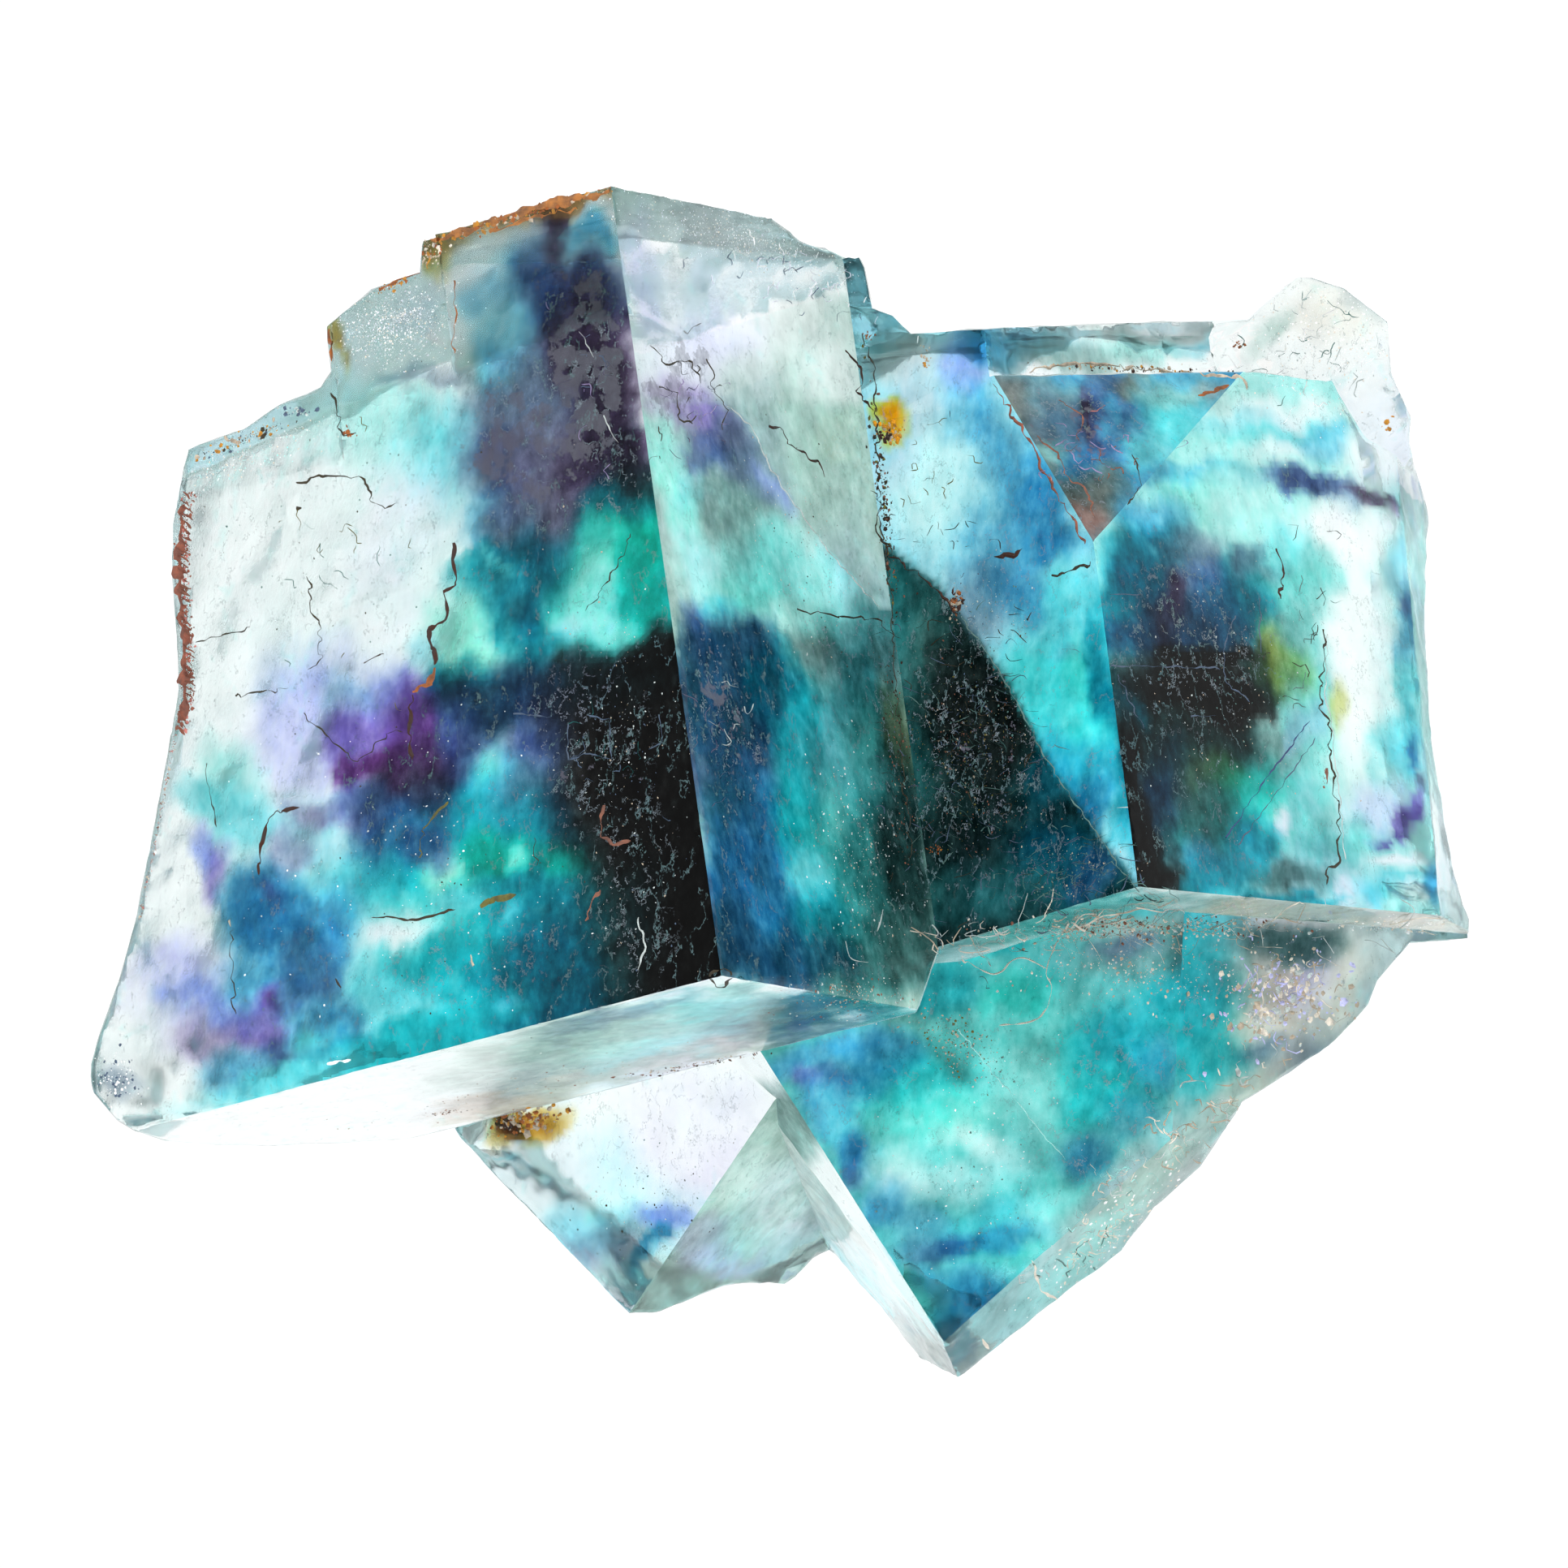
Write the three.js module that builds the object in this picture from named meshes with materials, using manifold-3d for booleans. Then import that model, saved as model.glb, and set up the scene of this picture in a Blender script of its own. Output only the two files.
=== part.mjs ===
// Fluorite cube cluster: four cubic crystals that grew through each other, on one broken back.
// Millimetres, +Z up. The cluster lies on its back: crystal corners point up, the flat break is at
// z = 0, and the middle of the plan is brought to x = y = 0 at the end.
// Plan azimuths are measured anticlockwise from +X; a dip is an edge's slope, negative when it falls.

import * as THREE from 'three';
import { mergeVertices } from 'three/addons/utils/BufferGeometryUtils.js';
import Module from 'manifold-3d';

const wasm = await Module();
wasm.setup();

// ---- Driving dimensions -------------------------------------------------------------------------

const HEIGHT = 19.5; // from the flat break up to the large crystal's front corner

// Each crystal: its nearest corner, the azimuth and dip of its first edge, the azimuth of its second
// edge, and how far it reaches along its first, second and third edges.
const LARGE = { corner: [-1.44, -4.62, HEIGHT], first: [98.0, -11.5], second: 194.9, size: [19.9, 24, 16] };
const RIGHT = { corner: [8.75, -2.46, 14.8], first: [97.3, -11.4], second: 197, size: [17.5, 16, 17] };
const LOWER = { corner: [4.66, -14.72, 7.3], first: [124.7, 13.0], second: 36.6, size: [13.8, 17, 12] };
const SMALL = { corner: [-3.74, -13.02, 5.9], first: [55.8, 21], second: 134.5, size: [9, 9, 9] };

const FRONT_LAYER = 13.5; // height of the right crystal's front block along its first edge
const FRONT_LAYER_DEPTH = 2.64; // thickness of that block, in front of the taller back layer
const CORNER_CHIP = [4.8, 2.5, 6.5]; // where the cleaved corner cuts the front block's three edges

// The narrow side of the lower crystal is etched back to this slope instead of a true cube face.
const ETCHED_SIDE = [-0.75, -0.56, 0.33];

// Undersides that broke off upright below the overhanging crystals: a point in plan on each break
// and the azimuth that it faces.
const LARGE_UNDERSIDE = { at: [-1.14, -6.66], facing: -75.8 };
const LARGE_END = { at: [3.36, -5.45], facing: -19.4 };
const LARGE_END_TOP = -3.7; // the end break reaches up to here, where the right crystal covers it
const UNDERSIDE_FLOOR = 2.4; // below this height the crystals share one mass and the upright breaks stop
const RIGHT_UNDERSIDE = [{ at: [8.75, -2.98], facing: -73 }, { at: [8.75, -2.98], facing: -94.5 }];

// Breaks that slope off a crystal's top face: a point in plan where each leaves the face, the
// azimuth that it faces and how steeply it leans.
const RIGHT_RIM_BREAK = { at: [15.5, 5.4], facing: 9.2, tilt: 74 };
const FROSTED_BREAKS = [
  { at: [9.9, -4.0], facing: -12, tilt: 30 },
  { at: [9.15, -9.6], facing: -40, tilt: 36 },
  { at: [13.6, -5.2], facing: -44, tilt: 58 },
];

// Growth ledges on the large crystal's left face: where each starts along the second edge, how far
// up the first edge it starts, and how deep it is at the top.
const LEDGES = [
  { from: 5.2, above: 16.2, depth: 0.45 },
  { from: 8.7, above: 15.0, depth: 0.75 },
];

// The clear lump on the right crystal's top corner: lumps stand out by this fraction of its radius.
const KNOB = { centre: [13.35, 10.2, 1.3], radius: 3.7, lumps: 0.07 };

const BIG = 60; // longer than the whole cluster, for the far side of a cutting block

// The rim of the broken edges in plan, clockwise from the lower left corner. `rim` is the height
// where the break starts to turn under; `round` stretches are smooth curves through their points.
const OUTLINE = [
  { name: 'left break', rim: 9.0, round: true, steps: 14,
    at: [[-16.9, -7.5], [-16.9, -6.6], [-16.0, -3.9], [-15.2, 0.1], [-14.8, 2.8], [-15.0, 6.0],
      [-14.6, 8.3]] },
  { name: 'worn top left edge', rim: 8.6, at: [[-13.2, 8.8], [-12.3, 9.4], [-11.3, 9.8], [-11.05, 10.2]] },
  { name: 'second ledge', rim: 10, at: [[-11.15, 11.3], [-10.65, 11.7], [-10.05, 12.2], [-8.85, 12.6]] },
  { name: 'top ledge', rim: 12, at: [[-8.75, 13.5], [-7.2, 14.0], [-6.0, 14.45], [-4.35, 14.72]] },
  { name: 'top right edge', rim: 9, at: [[-1.85, 14.5], [-0.45, 14.2], [0.45, 13.45], [1.85, 13.2]] },
  { name: 'step behind the seam', rim: 4.5,
    at: [[2.05, 12.8], [2.25, 11.8], [2.75, 11.6], [3.2, 11.15]] },
  { name: 'back layer', rim: 1.8, at: [[5.75, 11.3], [8.75, 11.45], [11.55, 11.55]] },
  { name: 'knob', rim: 1.5, at: [[11.95, 11.9], [12.75, 12.6], [13.15, 12.6], [13.95, 12.3], [15.0, 11.5]] },
  { name: 'right shoulder', rim: 1.6, at: [[15.1, 10.2], [15.6, 9.1], [15.55, 8.5], [16.05, 6.8]] },
  { name: 'right break', rim: 2.4, round: true, steps: 8,
    at: [[15.95, 5.3], [15.95, 3.3], [16.1, 1.0], [16.65, -2.2], [17.0, -3.3]] },
  { name: 'ledge end', rim: 2.6, at: [[17.0, -3.75], [15.55, -3.85]] },
  { name: 'lower right break', rim: 2.2,
    at: [[14.75, -4.8], [14.55, -5.4], [13.55, -6.4], [11.4, -7.8], [10.35, -9.4], [9.2, -10.4],
      [7.6, -12.6], [5.2, -14.5]] },
  { name: 'lower tip', rim: 3.0, at: [[4.66, -14.74], [3.55, -14.2], [1.75, -12.6]] },
  { name: 'bottom break', rim: 1.2, round: true, steps: 6,
    at: [[-0.3, -12.3], [-1.4, -12.36], [-3.0, -13.0]] },
  { name: 'small crystal', rim: 2.2, at: [[-3.74, -13.16], [-4.35, -12.85], [-6.45, -10.6], [-7.5, -9.2]] },
  { name: 'under the large crystal', rim: 4.2, round: true, steps: 8,
    at: [[-8.3, -8.72], [-9.6, -8.72], [-12.6, -8.86], [-15.2, -8.7], [-16.3, -8.2]] },
];

// The break turns under in rings: [fraction of the rim height, fraction of the plan size].
const BACK_RINGS = [[1, 1], [0.66, 0.965], [0.33, 0.9], [0, 0.8]];
const BACK_LUMPS = 0.018; // how far the rings swell and shrink, as a fraction of their size

// Flat cleavages around the back: the azimuth that each faces and how far it leans under.
const BACK_CLEAVAGES = [
  { facing: 172, under: 36 }, { facing: 205, under: 48 }, { facing: 238, under: 40 },
  { facing: 262, under: 52 }, { facing: 292, under: 38 }, { facing: 318, under: 50 },
  { facing: 352, under: 46 }, { facing: 24, under: 55 }, { facing: 58, under: 42 },
  { facing: 96, under: 50 }, { facing: 128, under: 40 }, { facing: 150, under: 58 },
];

// ---- Solids -------------------------------------------------------------------------------------

function toSolid(geometry) {
  const bare = geometry.index ? geometry.clone() : geometry;
  bare.deleteAttribute('normal');
  bare.deleteAttribute('uv');
  const merged = mergeVertices(bare, 1e-4);
  const vertProperties = new Float32Array(merged.attributes.position.array);
  const triVerts = new Uint32Array(merged.index.array);
  return new wasm.Manifold(new wasm.Mesh({ numProp: 3, vertProperties, triVerts }));
}

function toGeometry(solid) {
  const mesh = solid.getMesh();
  const geometry = new THREE.BufferGeometry();
  geometry.setAttribute('position', new THREE.BufferAttribute(new Float32Array(mesh.vertProperties), 3));
  geometry.setIndex(new THREE.BufferAttribute(new Uint32Array(mesh.triVerts), 1));
  return geometry;
}

function direction(azimuth, dip) {
  const a = THREE.MathUtils.degToRad(azimuth);
  const d = THREE.MathUtils.degToRad(dip);
  return new THREE.Vector3(Math.cos(a) * Math.cos(d), Math.sin(a) * Math.cos(d), Math.sin(d));
}

// The three edges that leave a crystal's corner. The second edge's dip follows from its azimuth,
// because the edges of a cube are square to each other. The third is square to both.
function crystalFrame({ corner, first, second }) {
  const [azimuth, dip] = first;
  const between = THREE.MathUtils.degToRad(second - azimuth);
  const slope = -Math.cos(between) / Math.tan(THREE.MathUtils.degToRad(dip));
  const edges = [direction(azimuth, dip), direction(second, THREE.MathUtils.radToDeg(Math.atan(slope)))];
  const third = new THREE.Vector3().crossVectors(edges[0], edges[1]);
  if (third.z > 0) third.negate();
  edges.push(third);
  return { corner: new THREE.Vector3(...corner), edges };
}

// A block in a crystal's own edges, from `low` to `high` along each of them.
function block(frame, low, high) {
  const size = high.map((h, i) => h - low[i]);
  const geometry = new THREE.BoxGeometry(...size);
  geometry.translate(...size.map((s, i) => low[i] + s / 2));
  return placed(geometry, frame);
}

function placed(geometry, { corner, edges }) {
  const basis = new THREE.Matrix4().makeBasis(...edges);
  basis.setPosition(corner);
  geometry.applyMatrix4(basis);
  if (basis.determinant() < 0) flipFaces(geometry);
  return toSolid(geometry);
}

function flipFaces(geometry) {
  const index = geometry.index.array;
  for (let i = 0; i < index.length; i += 3) {
    [index[i], index[i + 1]] = [index[i + 1], index[i]];
  }
}

function cube(crystal) {
  return block(crystalFrame(crystal), [0, 0, 0], crystal.size);
}

// Everything beyond the plane through `point` that faces along `normal`, as one big block.
function beyond(point, normal) {
  const geometry = new THREE.BoxGeometry(BIG * 2, BIG * 2, BIG);
  geometry.translate(0, 0, BIG / 2);
  const up = new THREE.Vector3(0, 0, 1);
  geometry.applyQuaternion(new THREE.Quaternion().setFromUnitVectors(up, normal.clone().normalize()));
  geometry.translate(point.x, point.y, point.z);
  return toSolid(geometry);
}

// Everything past an upright break: a vertical plane through a point in plan.
function uprightBreak({ at, facing }) {
  const floor = beyond(new THREE.Vector3(0, 0, UNDERSIDE_FLOOR), new THREE.Vector3(0, 0, -1));
  return beyond(new THREE.Vector3(...at, 0), direction(facing, 0)).subtract(floor);
}

// Everything past a break that slopes off a crystal's face; `inward` is the edge square to that face.
function slopingBreak({ at, facing, tilt }, corner, inward) {
  const [x, y] = at;
  const height = corner.z - (inward.x * (x - corner.x) + inward.y * (y - corner.y)) / inward.z;
  return beyond(new THREE.Vector3(x, y, height), direction(facing, 90 - tilt));
}

// ---- The crystals -------------------------------------------------------------------------------

// The large crystal, with the growth ledges that step down its top left corner. Each ledge is a
// wedge of the left face that fades out downwards.
function largeCrystal() {
  const frame = crystalFrame(LARGE);
  const [height, width] = LARGE.size;
  let solid = cube(LARGE);
  for (const { from, above, depth } of LEDGES) {
    const rise = height + 1 - above;
    const corners = [[0, -1], [rise, -1], [rise, depth], [0, 0]].map((p) => new THREE.Vector2(...p));
    const outline = new THREE.Shape(corners);
    const geometry = new THREE.ExtrudeGeometry(outline, { depth: width, bevelEnabled: false });
    // shape x runs up the first edge, shape y into the face, the extrusion along the second edge
    const turned = new THREE.Matrix4().makeBasis(
      new THREE.Vector3(1, 0, 0), new THREE.Vector3(0, 0, 1), new THREE.Vector3(0, 1, 0));
    turned.setPosition(above, from, 0);
    geometry.applyMatrix4(turned);
    const bare = mergeBare(geometry);
    flipFaces(bare);
    solid = solid.subtract(placed(bare, frame));
  }
  const aboveEnd = beyond(new THREE.Vector3(0, LARGE_END_TOP, 0), new THREE.Vector3(0, 1, 0));
  const end = uprightBreak(LARGE_END).subtract(aboveEnd);
  return solid.subtract(uprightBreak(LARGE_UNDERSIDE)).subtract(end);
}

function mergeBare(geometry) {
  geometry.deleteAttribute('normal');
  geometry.deleteAttribute('uv');
  return mergeVertices(geometry, 1e-4);
}

// The right crystal: a taller back layer, a lower block in front of it, and the block's front
// corner cleaved off.
function rightCrystal() {
  const frame = crystalFrame(RIGHT);
  const [height, width, length] = RIGHT.size;
  const notch = block(frame, [FRONT_LAYER, -1, -1], [height + 1, FRONT_LAYER_DEPTH, length + 1]);
  const cuts = CORNER_CHIP.map((reach, i) => {
    const point = frame.corner.clone().addScaledVector(frame.edges[0], FRONT_LAYER);
    return point.addScaledVector(frame.edges[i], i === 0 ? -reach : reach);
  });
  const facet = new THREE.Plane().setFromCoplanarPoints(...cuts);
  const outward = facet.normal.z > 0 ? facet.normal : facet.normal.negate();
  const front = block(frame, [-1, -1, -1], [FRONT_LAYER + 1, FRONT_LAYER_DEPTH, length + 1]);
  const chip = beyond(cuts[0], outward).intersect(front);
  const [left, right] = RIGHT_UNDERSIDE.map(uprightBreak);
  const rim = slopingBreak(RIGHT_RIM_BREAK, frame.corner, frame.edges[1]);
  return cube(RIGHT).subtract(notch).subtract(chip).subtract(left.intersect(right)).subtract(rim);
}

// The lower crystal: its narrow side is etched back from its sharp edge, and its right side is
// broken away in frosted facets.
function lowerCrystal() {
  const { corner, edges } = crystalFrame(LOWER);
  const breaks = FROSTED_BREAKS.map((slope) => slopingBreak(slope, corner, edges[2]));
  const solid = cube(LOWER).subtract(beyond(corner, new THREE.Vector3(...ETCHED_SIDE)));
  return breaks.reduce((left, cut) => left.subtract(cut), solid);
}

function knob() {
  const geometry = mergeBare(new THREE.IcosahedronGeometry(KNOB.radius, 2));
  const { position } = geometry.attributes;
  const point = new THREE.Vector3();
  for (let i = 0; i < position.count; i += 1) {
    point.fromBufferAttribute(position, i);
    const lump = Math.sin(1.7 * point.x + point.z) * Math.sin(1.9 * point.y - point.z);
    point.multiplyScalar(1 + KNOB.lumps * lump);
    position.setXYZ(i, point.x, point.y, point.z);
  }
  geometry.translate(...KNOB.centre);
  return toSolid(geometry);
}

// ---- The broken back ----------------------------------------------------------------------------

function rimPoints() {
  const points = [];
  for (const { rim, at, round, steps } of OUTLINE) {
    const corners = at.map(([x, y]) => new THREE.Vector2(x, y));
    const run = round ? new THREE.SplineCurve(corners).getPoints(steps) : corners;
    run.forEach((p) => points.push({ x: p.x, y: p.y, rim }));
  }
  return points;
}

// The envelope of the whole cluster: straight walls down to the rim, then lumpy rings that turn
// under to the flat break at z = 0.
function brokenEnvelope() {
  const rim = rimPoints();
  const count = rim.length;
  const rings = [rim.map((p) => [p.x, p.y, HEIGHT + 1])];
  BACK_RINGS.forEach(([drop, size], ring) => {
    rings.push(rim.map((p) => {
      const around = Math.atan2(p.y, p.x);
      const lumps = Math.sin(3 * around + 2 * ring) + Math.sin(7 * around - 3 * ring);
      const scale = size + (ring === 0 ? 0 : BACK_LUMPS * lumps);
      return [p.x * scale, p.y * scale, p.rim * drop];
    }));
  });
  const positions = rings.flat(2);
  const faces = [];
  for (let r = 0; r + 1 < rings.length; r += 1) {
    for (let i = 0; i < count; i += 1) {
      const a = r * count + i;
      const b = r * count + ((i + 1) % count);
      faces.push(a, b, a + count, b, b + count, a + count);
    }
  }
  const topCentre = positions.length / 3;
  const floorRing = (rings.length - 1) * count;
  positions.push(0, 0, HEIGHT + 1, 0, 0, 0);
  for (let i = 0; i < count; i += 1) {
    const next = (i + 1) % count;
    faces.push(topCentre, next, i);
    faces.push(topCentre + 1, floorRing + i, floorRing + next);
  }
  const geometry = new THREE.BufferGeometry();
  geometry.setAttribute('position', new THREE.BufferAttribute(new Float32Array(positions), 3));
  geometry.setIndex(faces);
  return toSolid(geometry);
}

// Cleaves the back: each plane leans under and just touches the outermost point of the rim.
function cleaveBack(solid) {
  const rim = rimPoints().map(({ x, y, rim: z }) => new THREE.Vector3(x, y, z));
  return BACK_CLEAVAGES.reduce((left, { facing, under }) => {
    const outward = direction(facing, -under);
    const reach = Math.max(...rim.map((p) => p.dot(outward)));
    return left.subtract(beyond(outward.clone().multiplyScalar(reach), outward));
  }, solid);
}

// ---- The cluster --------------------------------------------------------------------------------

function cluster() {
  const grown = [largeCrystal(), rightCrystal(), lowerCrystal(), cube(SMALL), knob()];
  let solid = grown[0];
  grown.slice(1).forEach((crystal) => {
    solid = solid.add(crystal);
  });
  const geometry = toGeometry(cleaveBack(solid.intersect(brokenEnvelope())));
  geometry.computeBoundingBox();
  const { min, max } = geometry.boundingBox;
  geometry.translate(-(min.x + max.x) / 2, -(min.y + max.y) / 2, -min.z);
  return geometry;
}

const fluorite = new THREE.MeshStandardMaterial({ color: 0x5fb8b4, roughness: 0.12, metalness: 0 });
const mesh = new THREE.Mesh(cluster(), fluorite);
mesh.name = 'fluorite_cluster';

const group = new THREE.Group();
group.add(mesh);

export default group;
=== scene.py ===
# %% [markdown]
# # A cluster of fluorite cubes
# Fluorite grows as cubes, and this cluster is four of them that grew into each other. The crystal is
# clear, its colour comes in cloudy zones of violet, blue and green, and iron has stained its cracks.
# The solid itself comes from the CAD frame. This lesson gives it the surface, the colour zones, the
# cracks, the dust and the light.

import math

import bmesh
import bpy
import numpy as np
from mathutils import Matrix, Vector
from mathutils.bvhtree import BVHTree


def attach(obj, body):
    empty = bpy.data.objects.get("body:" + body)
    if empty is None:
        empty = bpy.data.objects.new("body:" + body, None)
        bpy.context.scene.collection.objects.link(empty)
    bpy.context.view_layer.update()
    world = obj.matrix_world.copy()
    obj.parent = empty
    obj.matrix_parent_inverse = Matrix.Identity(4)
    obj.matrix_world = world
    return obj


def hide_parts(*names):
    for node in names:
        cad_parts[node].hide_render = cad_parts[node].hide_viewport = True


MM = 0.001

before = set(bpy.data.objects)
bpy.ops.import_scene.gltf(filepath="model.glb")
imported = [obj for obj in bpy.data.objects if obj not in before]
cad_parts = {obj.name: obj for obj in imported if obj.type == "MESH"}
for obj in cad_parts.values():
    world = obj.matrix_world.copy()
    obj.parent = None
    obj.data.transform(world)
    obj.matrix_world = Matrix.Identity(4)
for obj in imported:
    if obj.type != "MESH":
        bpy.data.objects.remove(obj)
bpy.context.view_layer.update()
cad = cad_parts["fluorite_cluster"]

# %% [markdown]
# ## The crystals' own axes
# Everything on a cube follows its edges: faces, growth steps, cleavage cracks. So each crystal gets
# its corner and the compass directions of its edges, and every face gets a name. The highest point of
# the cluster is the large crystal's corner, which ties these values to the frame.

# %% Crystal corners and edges
CRYSTALS = {
    "large": {"corner": (-1.44, -4.62, 19.5), "first": (98.0, -11.5), "second": 194.9},
    "right": {"corner": (8.75, -2.46, 14.8), "first": (97.3, -11.4), "second": 197.0},
    "lower": {"corner": (4.66, -14.72, 7.3), "first": (124.7, 13.0), "second": 36.6},
    "small": {"corner": (-3.74, -13.02, 5.9), "first": (55.8, 21.0), "second": 134.5},
}
FRONT_LAYER = 13.5  # the right crystal's front block, in mm up its first edge
CORNER_CHIP = (-4.8, 2.5, 6.5)  # where its corner is cleaved off, along the three edges
BACK_LAYER_DEPTH = 2.64
ETCHED_SIDE = (-0.75, -0.56, 0.33)
KNOB = {"centre": (13.35, 10.2, 1.3), "radius": 3.7}


def direction(azimuth, dip):
    a, d = math.radians(azimuth), math.radians(dip)
    return np.array([math.cos(a) * math.cos(d), math.sin(a) * math.cos(d), math.sin(d)])


def edges_of(crystal):
    azimuth, dip = crystal["first"]
    between = math.radians(crystal["second"] - azimuth)
    slope = -math.cos(between) / math.tan(math.radians(dip))
    first = direction(azimuth, dip)
    second = direction(crystal["second"], math.degrees(math.atan(slope)))
    third = np.cross(first, second)
    return [first, second, third if third[2] < 0 else -third]


points = np.array([v.co for v in cad.data.vertices]) / MM
shift = points[points[:, 2].argmax()] - np.array(CRYSTALS["large"]["corner"])
CORNER = {name: np.array(c["corner"]) + shift for name, c in CRYSTALS.items()}
EDGES = {name: edges_of(c) for name, c in CRYSTALS.items()}
print("frame shift in mm:", np.round(shift, 3))

# %% Name the flat faces
top_of_block = CORNER["right"] + EDGES["right"][0] * FRONT_LAYER
chip = [top_of_block + edge * length for edge, length in zip(EDGES["right"], CORNER_CHIP)]
chip_normal = np.cross(chip[1] - chip[0], chip[2] - chip[0])
chip_normal *= np.sign(chip_normal[2]) / np.linalg.norm(chip_normal)
etched_normal = np.array(ETCHED_SIDE) / np.linalg.norm(ETCHED_SIDE)


def cube_face(crystal, edge):
    """The face across a crystal's other two edges, which looks away from this one."""
    return CORNER[crystal], -EDGES[crystal][edge]


# name: (a point on the face, its outward normal)
FACES = {
    "large left": cube_face("large", 2),
    "large right": cube_face("large", 1),
    "large under": cube_face("large", 0),
    "right left": cube_face("right", 2),
    "right right": cube_face("right", 1),
    "back layer": (CORNER["right"] + EDGES["right"][1] * BACK_LAYER_DEPTH, -EDGES["right"][1]),
    "chip": (chip[0], chip_normal),
    "right under": cube_face("right", 0),
    "lower top": cube_face("lower", 2),
    "lower side": (CORNER["lower"], etched_normal),
    "small left": cube_face("small", 2),
    "small right": cube_face("small", 1),
}
ON_PLANE = 0.1  # mm that a triangle may lie off its face
STEPPED = {"large left": 1.5}  # and where growth steps belong to the face
NAMES = list(FACES) + ["knob", "break", "back"]
print(len(NAMES), "kinds of surface")

# %% [markdown]
# ## A mesh fine enough to carry detail
# The CAD faces are a few large flats. Relief, worn edges and colour zones need points to live on, so
# the mesh is sliced along x, y and z like a loaf and the upper faces are split again. Slicing keeps
# every flat flat and every edge sharp, which smoothing would not.

# %% Slice the CAD mesh
SLICES = (0.44, 0.44, 1.2)  # mm between cuts along x, y, z
UPWARD = 0.06  # faces whose normal rises more than this are split finer
LONG_EDGE = 0.2 * MM  # and only their edges over this
WELD = 0.02 * MM  # points closer than this become one


def add(name, contents):
    """A new object in the scene."""
    made = bpy.data.objects.new(name, contents)
    bpy.context.scene.collection.objects.link(made)
    return made


mesh = bmesh.new()
mesh.from_mesh(cad.data)
bmesh.ops.remove_doubles(mesh, verts=mesh.verts, dist=1e-4 * MM)
for axis, pitch in enumerate(SLICES):
    normal = [float(i == axis) for i in range(3)]
    lowest, highest = (f(v.co[axis] for v in mesh.verts) for f in (min, max))
    for place in np.arange(lowest + pitch * MM, highest, pitch * MM):
        everything = list(mesh.verts) + list(mesh.edges) + list(mesh.faces)
        bmesh.ops.bisect_plane(mesh, geom=everything, dist=1e-5 * MM,
                               plane_co=Vector(normal) * place, plane_no=normal)
bmesh.ops.remove_doubles(mesh, verts=mesh.verts, dist=WELD)
bmesh.ops.dissolve_degenerate(mesh, edges=mesh.edges, dist=WELD)
bmesh.ops.triangulate(mesh, faces=[f for f in mesh.faces if len(f.verts) > 4])
mesh.normal_update()
upper = {e for f in mesh.faces if f.normal.z > UPWARD for e in f.edges}
bmesh.ops.subdivide_edges(mesh, edges=[e for e in upper if e.calc_length() > LONG_EDGE],
                          cuts=2, use_grid_fill=True)
bmesh.ops.triangulate(mesh, faces=mesh.faces)
mesh.normal_update()

crystal = add("fluorite_crystals", bpy.data.meshes.new("fluorite_crystals"))
creased = np.array([e.calc_face_angle_signed(0.0) for e in mesh.edges])
mesh.to_mesh(crystal.data)
mesh.free()
data = crystal.data
print("sliced:", len(data.vertices), "points,", len(data.polygons), "triangles")

# %% Read the mesh into arrays
SAME_WAY = 0.985  # how closely a triangle's normal must match its face's
NOT_DOWN = -0.2  # a normal that rises more than this doesn't belong to the back
BACK_TOP = 0.8  # mm, the height up to which everything belongs to the back
KNOB_REACH = 1.12 * KNOB["radius"]


def read(items, key, kind_of_number=float, columns=3):
    values = np.empty(len(items) * columns, kind_of_number)
    items.foreach_get(key, values)
    return values.reshape(-1, columns)


place = read(data.vertices, "co") / MM
normals = read(data.polygons, "normal")
corner_vertex = read(data.loops, "vertex_index", np.int32, 1).ravel()
triangles = corner_vertex.reshape(-1, 3)
middles = place[triangles].mean(axis=1)

kind = np.full(len(middles), NAMES.index("back"))
kind[(normals[:, 2] > NOT_DOWN) & (middles[:, 2] > BACK_TOP)] = NAMES.index("break")
from_knob = np.linalg.norm(middles - (np.array(KNOB["centre"]) + shift), axis=1)
kind[(from_knob < KNOB_REACH) & (normals[:, 2] > NOT_DOWN)] = NAMES.index("knob")
for name, (point, normal) in FACES.items():
    facing = normals @ normal > SAME_WAY
    close = np.abs((middles - point) @ normal) < STEPPED.get(name, ON_PLANE)
    unnamed = kind >= NAMES.index("knob")
    kind[facing & close & unnamed] = NAMES.index(name)
print({name: int((kind == i).sum()) for i, name in enumerate(NAMES)})

# %% [markdown]
# ## Noise
# Nature is never even. This small value noise gives each point a smooth random value that is the same
# on every run, and stacking it at finer and finer sizes gives clouds.

# %% Value noise in numpy
def lattice(cell, seed):
    """One repeatable random number from -1 to 1 for each whole-number cell."""
    mixed = cell[:, 0] * 73856093 ^ cell[:, 1] * 19349663 ^ cell[:, 2] * 83492791 ^ seed * 2654435761
    mixed = ((mixed ^ (mixed >> 13)) * 1274126177) & 0xFFFFFFFF
    return (mixed ^ (mixed >> 16)) / 0x7FFFFFFF - 1


def noise(at, size, seed=0):
    scaled = at / size
    cell = np.floor(scaled).astype(np.int64)
    part = scaled - cell
    part = part * part * (3 - 2 * part)
    total = np.zeros(len(at))
    for corner in np.ndindex(2, 2, 2):
        weight = np.prod(np.where(corner, part, 1 - part), axis=1)
        total += weight * lattice(cell + np.array(corner), seed)
    return total


def clouds(at, size, layers=3, seed=0):
    total = sum(noise(at, size / 2**i, seed + i) / 2**i for i in range(layers))
    return total / sum(1 / 2**i for i in range(layers))


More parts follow.
